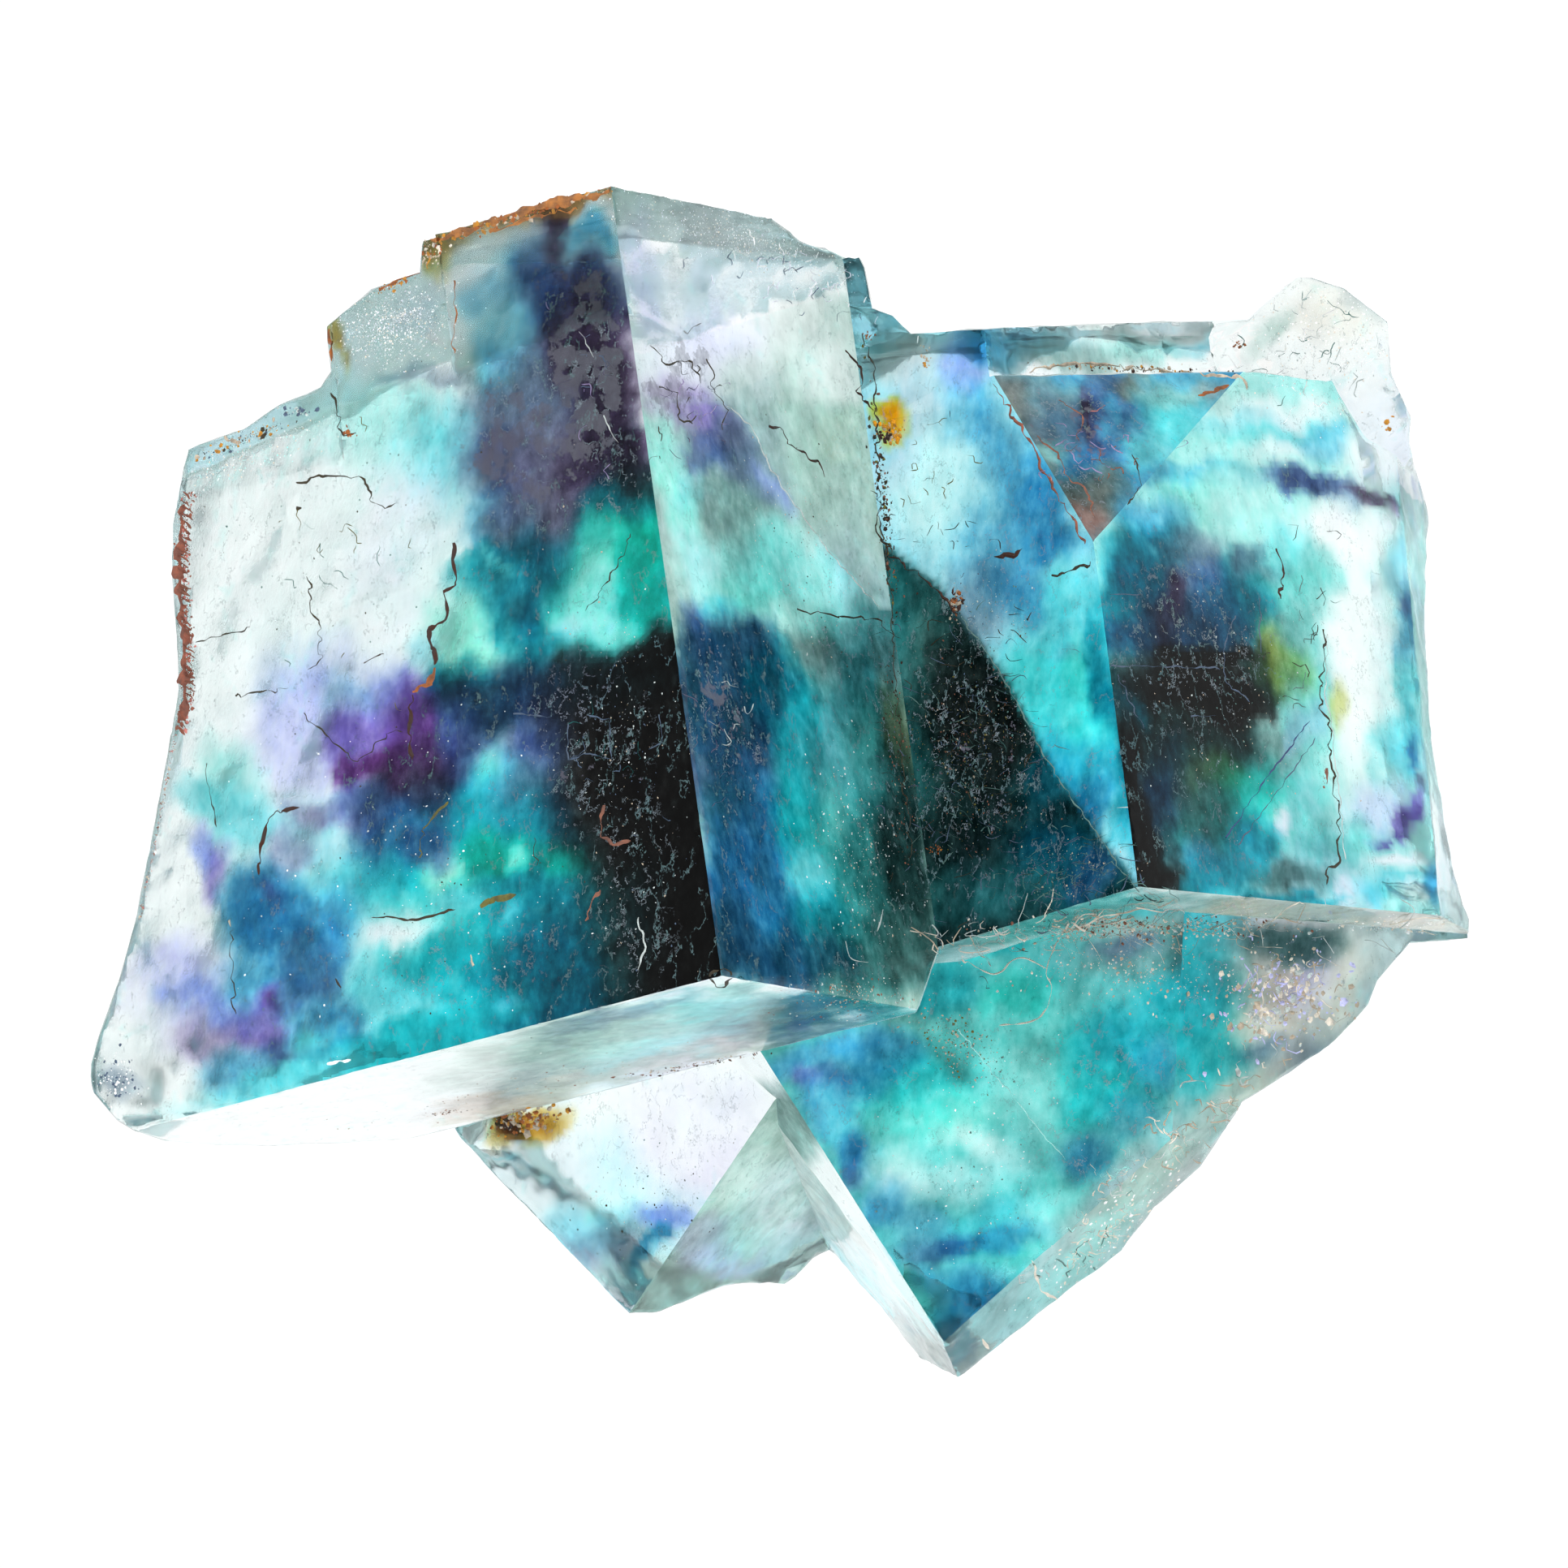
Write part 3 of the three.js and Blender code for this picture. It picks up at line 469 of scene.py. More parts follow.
        (12.9, 1.5, 0.3, 0.8, -30, "lilac", 0.8), (12.3, 3.0, 0.6, 0.8, 0, "olive", 0.8),
        (12.7, 3.9, 0.6, 0.5, 0, "sage", 0.6),
        (12.6, -0.8, 0.8, 0.8, 0, "mint", 0.8), (12.5, -0.9, 0.3, 0.5, -20, "white", 0.95),
        (11.6, -1.2, 0.6, 0.5, 0, "teal", 0.8), (10.3, -1.9, 0.7, 0.5, -20, "azure", 0.8),
        (11.3, -2.2, 0.6, 0.4, 0, "cyan", 0.9), (10.3, -2.5, 0.6, 0.3, 0, "teal", 0.8),
        (12.4, -2.3, 0.9, 0.4, 0, "moss", 0.6), (14.2, 3.2, 0.9, 3.6, 1, "white", 0.95),
        (12.9, 3.0, 0.6, 2.8, 0, "lagoon", 0.5), (12.5, 5.2, 0.9, 0.7, 0, "lagoon", 0.5),
        (13.2, -0.9, 0.5, 1.3, 0, "lagoon", 0.4), (10.4, 8.0, 1.4, 1.2, 0, "lagoon", 0.35),
        (13.7, 1.9, 0.35, 0.5, 0, "olive", 0.4), (15.5, 3.9, 0.35, 0.9, 0, "azure", 0.6),
        (15.4, 5.4, 0.4, 0.8, 0, "sky", 0.9), (15.5, 4.5, 0.2, 0.3, 0, "indigo", 0.5),
        (15.5, 2.2, 0.35, 1.0, 0, "cyan", 0.8), (15.3, 0.8, 0.5, 0.9, 0, "cyan", 0.7),
        (15.6, 0.9, 0.15, 0.5, 0, "blue", 0.8), (15.8, 0.0, 0.2, 0.3, 0, "slate", 0.8),
        (14.7, -0.8, 0.7, 0.7, 0, "lilac", 0.6), (15.4, -0.8, 0.55, 0.18, 50, "violet", 0.95),
        (15.0, -1.4, 0.4, 0.12, 20, "violet", 0.95), (14.9, -2.5, 1.2, 0.3, 0, "cyan", 0.8),
        (14.8, -1.9, 1.4, 0.16, 0, "white", 0.95), (13.9, -2.6, 0.3, 0.5, 0, "white", 0.8),
        (15.6, -2.7, 0.5, 0.3, -10, "white", 0.8), (16.2, -2.4, 0.3, 0.5, 0, "blue", 0.7),
        (11.8, -2.9, 1.6, 0.15, 0, "teal", 0.7), (14.8, 9.2, 0.9, 0.5, 0, "cream", 0.7),
        (15.2, 8.6, 0.6, 0.9, 0, "white", 0.9),
        (10.8, -2.2, 0.9, 0.5, 0, "teal", 0.6), (13.9, -1.5, 0.9, 0.5, 0, "lagoon", 0.7),
        (11.5, -1.5, 0.7, 0.5, 0, "teal", 0.5), (12.5, 5.9, 0.6, 0.5, 0, "cyan", 0.4),
    ],
    "back layer": ["white",
        (5.3, 10.8, 0.9, 0.5, 0, "azure", 0.9), (6.6, 10.8, 1.0, 0.3, 0, "sky", 0.6),
        (8.9, 10.85, 1.2, 0.35, 0, "aqua", 0.9), (10.4, 10.8, 0.8, 0.3, 0, "sky", 0.6),
        (9.5, 11.2, 3.0, 0.12, 0, "mist", 0.8), (10.8, 10.4, 0.8, 0.1, 0, "white", 0.8),
        (7.0, 10.5, 1.6, 0.35, 0, "sage", 0.5),
    ],
    "chip": ["azure",
        (6.6, 9.6, 1.3, 0.4, 0, "sand", 0.5), (6.3, 8.2, 2.2, 0.5, -62, "clay", 0.5),
        (6.9, 8.9, 0.8, 0.7, 0, "slate", 0.6), (6.6, 8.3, 0.35, 0.25, 0, "mint", 0.5),
        (7.9, 8.9, 0.6, 0.9, 5, "indigo", 0.85), (8.1, 9.0, 0.3, 0.55, 5, "azure", 1.0),
        (7.5, 9.2, 0.15, 0.6, 0, "plum", 0.8), (7.4, 7.6, 0.6, 0.8, 0, "blue", 0.7),
        (7.6, 7.0, 0.8, 0.8, 0, "clay", 0.6), (7.5, 6.3, 0.6, 0.5, 0, "rose", 0.6),
        (8.6, 9.7, 0.5, 0.2, 0, "clay", 0.5),
        (9.0, 8.2, 0.6, 0.7, 0, "cyan", 0.8), (9.8, 9.0, 0.9, 0.5, 0, "turquoise", 0.6),
        (9.2, 7.4, 0.5, 0.5, 0, "azure", 0.8), (10.4, 9.7, 0.5, 0.2, 10, "rose", 0.5),
        (9.4, 9.5, 0.9, 0.25, 0, "sage", 0.6), (9.9, 9.0, 1.0, 1.2, 0, "aqua", 0.6),
    ],
    "right under": ["mist",
        (5.4, -3.6, 1.8, 0.3, 14, "sage", 0.8), (8.5, -3.1, 2.5, 0.3, 2, "sage", 0.5),
        (11.0, -3.2, 2.0, 0.3, 0, "sand", 0.6), (15.8, -3.6, 1.6, 0.3, 0, "cream", 0.9),
        (7.0, -3.1, 1.5, 0.6, 5, "pine", 0.5), (12.8, -3.2, 1.2, 0.4, 0, "sage", 0.4),
        (14.8, -3.5, 1.0, 0.4, 0, "sand", 0.4),
    ],
    "lower top": ["lagoon",
        (0.9, -6.6, 1.6, 0.35, 18, "azure", 0.85), (1.1, -7.2, 0.7, 0.3, 20, "indigo", 0.59),
        (0.6, -7.3, 0.4, 0.3, -40, "violet", 0.59), (2.6, -6.6, 0.9, 0.5, 0, "blue", 0.68),
        (2.0, -7.2, 0.6, 0.4, 0, "blue", 0.59), (1.1, -7.9, 0.8, 0.7, -50, "azure", 0.77),
        (1.6, -8.4, 0.8, 0.4, -50, "cyan", 0.68), (1.9, -9.0, 0.35, 0.5, 0, "blue", 0.77),
        (1.8, -9.6, 0.3, 0.3, 0, "indigo", 0.42), (3.6, -7.4, 1.4, 0.9, 0, "turquoise", 0.51),
        (4.0, -8.1, 1.3, 0.6, 0, "mint", 0.51), (4.2, -6.8, 0.9, 0.35, -40, "moss", 0.26),
        (4.2, -9.9, 1.4, 0.5, 0, "pale aqua", 0.68), (5.6, -9.3, 0.9, 0.6, 0, "aqua", 0.77),
        (4.9, -8.9, 0.9, 0.35, -10, "pale aqua", 0.77), (3.0, -9.6, 0.8, 0.7, 20, "pale aqua", 0.77),
        (2.6, -10.4, 0.5, 0.6, -50, "azure", 0.68), (3.4, -10.8, 1.0, 0.4, -20, "azure", 0.68),
        (5.2, -10.7, 1.2, 0.35, 15, "cyan", 0.68), (4.0, -11.4, 0.9, 0.3, 10, "indigo", 0.68),
        (5.4, -11.2, 1.2, 0.3, 10, "blue", 0.51), (4.6, -12.0, 1.2, 0.3, 0, "sky", 0.59),
        (4.9, -12.9, 0.9, 0.8, 0, "blue", 0.77), (4.5, -13.6, 0.5, 0.4, 0, "slate", 0.59),
        (3.7, -12.2, 0.4, 0.4, -50, "azure", 0.59), (6.2, -12.9, 0.6, 0.6, 0, "sage", 0.51),
        (6.0, -7.6, 0.8, 1.2, 50, "aqua", 0.51), (8.6, -6.6, 1.4, 1.0, 0, "turquoise", 0.68),
        (9.4, -6.8, 0.8, 0.6, 0, "azure", 0.51), (7.6, -9.0, 0.6, 0.6, 0, "blue", 0.59),
        (8.0, -7.8, 0.9, 0.5, 0, "turquoise", 0.51), (8.8, -8.2, 0.7, 0.6, 0, "azure", 0.42),
        (6.8, -10.6, 0.8, 0.6, 30, "aqua", 0.68), (7.6, -11.6, 0.6, 0.5, 0, "grey green", 0.68),
        (8.4, -10.2, 0.9, 0.5, 42, "slate", 0.42), (8.8, -4.2, 1.4, 0.5, 0, "sage", 0.68),
        (8.4, -4.0, 0.8, 0.3, 0, "slate", 0.59), (10.2, -4.1, 0.8, 0.5, 0, "moss", 0.68),
        (5.0, -3.9, 1.2, 0.35, 5, "turquoise", 0.68), (5.9, -5.0, 0.8, 0.6, 20, "emerald", 0.26),
        (5.0, -4.7, 0.6, 0.6, 0, "aqua", 0.42), (3.4, -5.6, 1.0, 0.3, 5, "sage", 0.51),
        (9.8, -5.2, 0.8, 0.7, 0, "turquoise", 0.59), (10.6, -5.7, 0.6, 0.5, 0, "teal", 0.42),
        (8.8, -3.5, 1.4, 0.3, 0, "sand", 0.5), (6.2, -12.2, 1.3, 0.3, 45, "aqua", 0.7),
        (7.7, -10.5, 1.6, 0.45, 45, "mist", 0.7), (8.8, -9.3, 0.9, 0.4, 45, "mist", 0.6),
        (10.5, -7.5, 1.2, 0.5, 45, "mist", 0.6), (9.6, -8.3, 0.8, 0.25, 45, "aqua", 0.6),
        (3.9, -4.9, 1.1, 0.6, 5, "teal", 0.5), (3.3, -11.1, 0.7, 0.8, 0, "sky", 0.7),
    ],
    "break": ["mist",
        (10.4, -5.4, 1.4, 2.4, 10, "turquoise", 0.7), (11.2, -4.4, 1.0, 1.0, 0, "sage", 0.5),
        (16.0, 2.5, 0.6, 6.5, 4, "aqua", 0.9), (16.3, -1.5, 0.5, 1.6, 10, "white", 0.9),
        (2.0, -12.6, 1.8, 1.6, 0, "white", 1.0), (12.4, -4.9, 1.4, 1.2, 30, "sand", 0.8),
        (13.1, -4.8, 0.5, 0.9, 0, "lilac", 0.6), (11.9, -5.9, 0.9, 0.6, 0, "cream", 0.8),
        (12.2, -6.6, 0.7, 0.4, 0, "slate", 0.6), (12.6, -4.0, 1.2, 0.4, 0, "moss", 0.8),
        (13.9, -5.0, 0.7, 1.2, -20, "cream", 0.8), (11.6, -7.4, 1.5, 0.4, 40, "cream", 0.9),
        (9.0, -9.8, 3.2, 0.6, 46, "grey green", 0.8), (7.4, -11.8, 1.6, 0.6, 42, "aqua", 0.6),
        (2.6, 11.2, 0.9, 1.0, 0, "white", 0.9),
    ],
    "lower side": ["white", (0.4, -8.2, 1.0, 0.9, 50, "sage", 0.8)],
    "small left": ["white",
        (-4.6, -11.0, 1.0, 0.6, 20, "sky", 0.7), (-4.2, -11.5, 1.0, 0.5, 20, "slate", 0.4),
        (-3.0, -10.6, 0.7, 0.35, 0, "periwinkle", 0.95), (-3.3, -11.6, 0.2, 0.5, -30, "azure", 0.95),
        (-2.9, -11.1, 0.25, 0.3, -30, "blue", 0.6), (-3.6, -12.3, 0.9, 0.5, 0, "grey green", 0.6),
        (-1.4, -7.6, 0.9, 0.6, 0, "lavender", 0.5), (-6.3, -8.3, 0.9, 0.35, 12, "gilt", 0.9),
        (-6.8, -8.4, 0.25, 0.25, 0, "umber", 0.9),
    ],
    "small right": ["grey green",
        (-0.6, -9.6, 1.1, 0.8, 0, "pale aqua", 0.6), (0.6, -11.5, 1.2, 0.8, 0, "pale aqua", 0.6),
        (-2.0, -11.2, 0.8, 0.6, 0, "mauve", 0.35), (-1.4, -11.8, 0.9, 0.35, 0, "lilac", 0.6),
    ],
    "knob": ["white", (13.6, 11.0, 2.4, 2.4, 0, "cream", 0.15),
        (13.4, 11.6, 0.9, 0.6, 0, "cream", 0.4), (14.4, 12.0, 0.8, 0.3, -30, "mist", 0.5),
        (12.0, 11.2, 0.6, 0.3, 45, "grey green", 0.5),
    ],
}

# %% Ovals, dyes and curves
DEEPEST = 0.012  # no dye is darker, as its logarithm has to be a number


def patch(x, y, middle, reach, turn, fade=0.6):
    """1 inside an oval that is turned by `turn` degrees, falling softly to 0 around its rim."""
    a = math.radians(turn)
    dx, dy = x - middle[0], y - middle[1]
    along = (dx * math.cos(a) + dy * math.sin(a)) / reach[0]
    across = (dy * math.cos(a) - dx * math.sin(a)) / reach[1]
    return 1 - smooth(1 - fade, 1 + fade, np.hypot(along, across))


def dye(colour, tone, share):
    """Lay a tone over a colour as dye does: the shares multiply, so that mixtures stay deep."""
    target = np.log(np.maximum(PALETTE[tone], DEEPEST))
    colour[:] = np.exp(np.log(colour) * (1 - share[:, None]) + target * share[:, None])


def beyond_curve(x, y, curve, softness):
    """1 above a curve given by a few (x, y) points, 0 below it."""
    edge = np.interp(x, [p[0] for p in curve], [p[1] for p in curve])
    return smooth(-softness, softness, y - edge)


# %% Noise at every point
# The noise is worked out once for each point, and each triangle corner looks its values up. The zones'
# rims are frayed by it, and drawn out along the crystals' upright edges as real growth zones are.
FRAY = 0.55  # mm
ZONE_SIZE = 0.9  # mm across the clouds that fray and shade the zones
GRAIN_SIZE, CRUST_SIZE, THREAD_SIZE = 0.30, 0.62, 1.1
at = place - shift
stretched = at * (1.0, 0.7, 1.0)
swirled = at + 0.3 * clouds(at, 1.0, 2, seed=47)[:, None]
field = {
    "sway": clouds(stretched, ZONE_SIZE, 4, seed=33),
    "swing": clouds(stretched, ZONE_SIZE, 4, seed=133),
    "haze": clouds(stretched, ZONE_SIZE, 4, seed=37),
    "grain": clouds(at, GRAIN_SIZE, 2, seed=39),
    "crust": clouds(swirled, CRUST_SIZE, 4, seed=43),
    "thread": clouds(at * (1.0, 0.5, 1.0), THREAD_SIZE, 4, seed=53),
}
field = {name: values[corner_vertex] for name, values in field.items()}
true_x, true_y, true_z = at[corner_vertex].T
x = true_x + FRAY * field["sway"]
y = true_y + FRAY * field["swing"]
corner_kind = np.repeat(kind, 3)
corner_normals = np.repeat(normals, 3, axis=0)


def on(name):
    return corner_kind == NAMES.index(name)


# %% Paint the zones
# The broken back shows the same waters: aqua with drifts of teal and violet, clear at the left.
# seed, size in mm, colour, strength
DRIFTS = ((51, 6.0, "turquoise", 0.45), (61, 5.0, "azure", 0.35), (71, 4.0, "violet", 0.35))
colour = np.tile(np.array(PALETTE["pale aqua"]), (len(x), 1))
for seed, size, tone, strength in DRIFTS:
    drift = smooth(0.0, 0.55, clouds(at, size, 3, seed=seed))[corner_vertex]
    dye(colour, tone, drift * smooth(-14, -4, x) * smooth(12, 6, y) * strength)

# The walls along the top are clear, and rust has run down them at the left.
TOP_Y = 7
EDGE_HEIGHT, EDGE_END, EDGE_SLOPE = 19.5, -3.4, 0.55  # the top edge, which falls to the left, in mm
top_walls = (corner_normals[:, 1] > 0.4) & (corner_kind >= NAMES.index("break")) & (true_y > TOP_Y)
dye(colour, "white", top_walls * 0.9)
below_edge = EDGE_HEIGHT + EDGE_SLOPE * (true_x - EDGE_END) - true_z
rusty = smooth(EDGE_END, -4.4, true_x) * smooth(-9.6, -8.6, true_x) * smooth(2.4, 0.8, below_edge)
dye(colour, "rust", top_walls * rusty)

for name, (base, *zones) in ZONES.items():
    here = on(name)
    painted = np.tile(np.array(PALETTE[base]), (int(here.sum()), 1))
    for middle_x, middle_y, reach_x, reach_y, turn, tone, strength in zones:
        spread = patch(x[here], y[here], (middle_x, middle_y), (reach_x, reach_y), turn)
        dye(painted, tone, strength * spread)
    colour[here] = painted
print("painted", sum(len(zones) for _, *zones in ZONES.values()), "zones")


# %% Growth fronts and a dark area
# Two dark areas end at crisp lines: the right crystal's left face is painted dark below an arc, and
# the large crystal has a near-black heart, an older zone. A pale veil on the large one's right face
# ends at such a line too.
def lay(name, tone, mask):
    dye(colour, tone, np.where(on(name), mask, 0))


def lay_zones(name, mask, zones):
    for middle_x, middle_y, reach_x, reach_y, turn, tone, strength in zones:
        spread = patch(x, y, (middle_x, middle_y), (reach_x, reach_y), turn)
        lay(name, tone, mask * spread * strength)


# The right crystal's left face is painted dark below this arc.
arc = [(2.5, 5.85), (3.2, 5.35), (3.9, 4.8), (4.4, 4.2), (5.0, 3.4), (5.5, 2.6), (6.1, 1.5), (6.5, 0.7),
       (7.2, -0.4), (7.8, -1.2), (8.3, -2.0), (8.8, -2.6)]
below_arc = 1 - beyond_curve(true_x, true_y + 0.25 * field["swing"], arc, 0.30)
lay("right left", "bottle", below_arc)
lay_zones("right left", below_arc, [
    (3.2, 4.4, 0.9, 1.5, -10, "pine", 0.9), (3.5, 3.3, 0.7, 1.1, -10, "sage", 0.6),
    (3.9, 2.2, 0.6, 0.8, 0, "moss", 0.6), (3.0, 1.0, 0.6, 3.4, 8, "pine", 0.7),
    (4.8, 1.6, 1.0, 1.6, 20, "black", 0.6), (6.6, 0.4, 0.6, 1.0, -30, "deep teal", 0.8),
    (6.9, -1.8, 1.4, 1.0, -30, "deep teal", 0.9), (7.8, -1.9, 0.5, 0.8, -40, "indigo", 0.6),
    (5.0, -2.7, 2.0, 0.8, 8, "pine", 0.8),
])

heart_top = [(-9.0, 1.0), (-6.5, 2.4), (-5.6, 3.0), (-3.9, 3.1), (-3.3, 3.6), (-2.0, 3.9)]
heart_left = smooth(-1.7, 1.0, x + 4.4 - 0.22 * np.maximum(-y, 0) + 0.35 * smooth(0, 2, y))
heart = (1 - beyond_curve(x, y, heart_top, 0.5)) * heart_left
lay("large left", "black", heart)
lay_zones("large left", heart, [
    (-4.6, 2.6, 1.6, 0.7, 0, "deep teal", 0.35), (-3.9, -3.6, 0.8, 1.6, -20, "deep teal", 0.5),
])

veil = [(-1.4, 9.4), (-0.8, 8.9), (0.0, 7.4), (1.0, 6.0), (2.0, 4.9), (2.4, 4.4)]
veiled = beyond_curve(true_x, true_y, veil, 0.06) * smooth(9.6, 9.2, true_y)
lay("large right", "grey green", veiled * 0.9)

# %% Where dust, etching and frost lie
# Written as the zones are, with the kind of mark in place of the colour.
MARKS = {
    "large left": [
        (-4.7, 10.2, 1.1, 3.2, 6, "etch", 1.1), (-6.4, 8.4, 1.5, 1.9, 0, "etch", 1.0),
        (-5.0, 1.0, 1.8, 1.8, 0, "etch", 0.5), (-3.6, -2.6, 1.0, 2.6, 0, "etch", 0.4),
        (-8.6, -4.2, 3.0, 1.6, 0, "etch", 0.35), (-16.2, -7.2, 1.2, 0.8, -20, "frost", 0.3),
    ],
    "large right": [
        (2.2, -1.4, 1.2, 3.6, 8, "dust", 0.8), (1.8, -4.2, 1.9, 0.9, 0, "dust", 1.0),
        (-2.4, 9.8, 1.0, 1.5, 0, "etch", 1.0), (-1.4, 1.6, 0.9, 2.2, 8, "etch", 0.8),
        (1.0, 4.4, 1.4, 1.2, 0, "etch", 0.5), (0.4, 12.8, 2.8, 0.7, -15, "frost", 0.2),
    ],
    "large under": [(1.8, -5.6, 2.6, 0.8, 0, "dust", 1.0), (-8.0, -7.4, 9.0, 1.2, 13, "frost", 0.3)],
    "right left": [
        (4.6, 0.6, 2.2, 4.2, 0, "dust", 0.8), (5.5, 4.4, 1.5, 1.8, 0, "dust", 0.6),
        (7.4, -2.0, 1.2, 0.8, 0, "dust", 1.0), (5.4, 5.0, 1.3, 1.6, 0, "etch", 0.5),
        (4.6, 1.0, 1.6, 2.2, 0, "etch", 0.6),
    ],
    "right right": [(12.4, -2.4, 1.6, 0.5, 0, "dust", 0.6), (9.8, 3.4, 1.8, 2.2, 0, "etch", 0.45)],
    "right under": [(10.0, -3.3, 8.0, 0.6, 0, "dust", 1.0)],
    "chip": [(7.0, 8.2, 1.6, 1.8, 0, "etch", 0.8)],
    "lower top": [
        (9.0, -4.2, 4.6, 0.9, 0, "dust", 1.0), (4.0, -6.1, 1.6, 0.5, 0, "dust", 0.9),
        (7.6, -8.4, 1.6, 2.6, -40, "etch", 0.4),
    ],
    "small left": [(-5.2, -10.7, 2.8, 0.9, -54, "frost", 0.35)],
    "small right": [(-2.0, -12.4, 2.6, 0.8, 22, "frost", 0.35)],
    "break": [(12.5, -5.5, 3.2, 3.0, 0, "frost", 0.8), (8.5, -11.0, 3.2, 1.2, 40, "frost", 0.8)],
}
ROUGH = {"break": 0.25, "knob": 0.12, "lower side": 0.3}  # frost all over these
marks = {mark: np.zeros(len(x)) for mark in ("dust", "etch", "frost")}
dust, etch, frost = marks.values()
for name, amount in ROUGH.items():
    frost[on(name)] = amount
back = on("back")
frost[back] = 0.03 + 0.25 * smooth(0.25, 0.7, -corner_normals[back, 2])
for name, spots in MARKS.items():
    here = on(name)
    for middle_x, middle_y, reach_x, reach_y, turn, mark, strength in spots:
        spread = patch(x[here], y[here], (middle_x, middle_y), (reach_x, reach_y), turn) * strength
        marks[mark][here] = np.maximum(marks[mark][here], spread)

# %% Break the colours up
# Haze and wisps are the tiny healed cracks inside the crystal. The crust is where acid has eaten the
# surface into dull patches, and dust greys what it lies on.
WISP_TINT = 0.25
DUST_TINT = 0.08
crust = smooth(0.0, 0.10, field["crust"]) * etch
thread = smooth(0.05, 0.0, np.abs(field["thread"])) * smooth(-0.05, 0.25, field["haze"])
film = dust * smooth(-0.35, 0.4, field["grain"] + 0.6 * field["haze"])
depth = 1 - colour.mean(axis=1)
colour += (np.array(PALETTE["aqua"]) - colour) * (thread * WISP_TINT * (1.1 - depth))[:, None]
colour += (np.array(PALETTE["sage"]) - colour) * (film * DUST_TINT)[:, None]
shade = np.exp((0.55 * field["haze"] + 0.3 * field["grain"]) * (0.08 + 0.95 * depth))
colour = np.clip(colour * shade[:, None], 0.002, 1)

# %% Store the colours
# Glass tints light once on the way in and once on the way out, each by the square root of its
# colour. The upper faces carry nearly all of the tint, so theirs is deepened.
TINT_POWER = 1.85
BACK_POWER = 0.5


def to_linear(values):
    return np.where(values <= 0.04045, values / 12.92, ((values + 0.055) / 1.055) ** 2.4)


def store(mesh_data, name, values):
    layer = mesh_data.color_attributes.new(name, "FLOAT_COLOR", "CORNER")
    four = np.hstack([values, np.ones((len(values), 1))])
    layer.data.foreach_set("color", four.astype(np.float32).ravel())


linear = to_linear(colour)
deep = np.clip(linear, 0, 1) ** TINT_POWER
deep[back] = linear[back] ** BACK_POWER
store(data, "zone", deep)
roughness = 0.03 + 0.05 * smooth(-0.3, 0.6, field["haze"]) + 0.12 * crust + 0.2 * film + 0.5 * frost
bumps = 0.12 + 0.88 * np.clip(frost + crust * 0.5, 0, 1)
store(data, "finish", np.stack([np.clip(roughness, 0, 0.85), bumps, etch], axis=1))
print("dust on", int((dust > 0.1).sum()), "corners, etching on", int((etch > 0.1).sum()))

# %% [markdown]
# ## Fluorite
# Fluorite bends light less than glass does: its index is 1.434. It is modelled as what it is, a clear
# body with a faint aqua absorption, tinted by its zones, with a fine grain in its polish.

# %% Node helpers
def plug(tree, socket, value):
    if isinstance(value, bpy.types.NodeSocket):
        tree.links.new(value, socket)
    else:
        socket.default_value = value


def node(tree, kind_of_node, inputs=None, **settings):
    """A new node with its inputs plugged in or set, and its settings."""
    made = tree.nodes.new(kind_of_node)
    for key, value in settings.items():
        setattr(made, key, value)
    for key, value in (inputs or {}).items():
        plug(tree, made.inputs[key], value)
    return made


def calc(tree, operation, *values):
    return node(tree, "ShaderNodeMath", dict(enumerate(values)), operation=operation).outputs[0]


def ramp(tree, value, low, high, out_low=0.0, out_high=1.0):
    """A value that goes smoothly from out_low to out_high while the input goes from low to high."""
    inputs = {"Value": value, "From Min": low, "From Max": high, "To Min": out_low, "To Max": out_high}
    return node(tree, "ShaderNodeMapRange", inputs, interpolation_type="SMOOTHSTEP").outputs["Result"]


def blend(tree, factor, a, b, mode="MIX"):
    made = node(tree, "ShaderNodeMix", {0: factor, 6: a, 7: b}, data_type="RGBA", blend_type=mode)
    return made.outputs[2]


def material(name):
    made = bpy.data.materials.new(name)
    made.use_nodes = True
    made.node_tree.nodes.clear()
    return made, made.node_tree


def noise_texture(tree, vector, scale, detail, rough):
    inputs = {"Vector": vector, "Scale": scale, "Detail": detail, "Roughness": rough}
    return node(tree, "ShaderNodeTexNoise", inputs).outputs["Fac"]


def painted_on(tree, name):
    return node(tree, "ShaderNodeAttribute", attribute_name=name).outputs["Color"]


def place_of(tree, key="Object"):
    return node(tree, "ShaderNodeTexCoord").outputs[key]


# %% The fluorite material
PER_MM = 1000.0  # a texture scale of 1000 gives features about one millimetre across
BUMP = 0.03 * MM
IOR = 1.434
CRUST = (0.024, 0.020, 0.032, 1)  # linear, as the glass tint
RIM = (0.09, 0.11, 0.14, 1)
VEIN = (0.03, 0.07, 0.08, 1)
HAIRLINE = 0.010  # how far from its level a noise still draws a line


def hairlines(tree, value, level, strength, fine, low, high):
    """Lines where a noise passes its level, broken up where the fine noise is low."""
    off = calc(tree, "ABSOLUTE", calc(tree, "SUBTRACT", value, level))
    return calc(tree, "MULTIPLY", ramp(tree, off, 0.0, HAIRLINE, strength, 0.0), ramp(tree, fine, low, high))


fluorite, tree = material("fluorite")
where = place_of(tree)
finish = node(tree, "ShaderNodeSeparateColor", {"Color": painted_on(tree, "finish")}).outputs
etching = finish[2]
drawn_out = {0: where, 1: (1.0, 0.6, 1.0)}
upright = node(tree, "ShaderNodeVectorMath", drawn_out, operation="MULTIPLY").outputs[0]

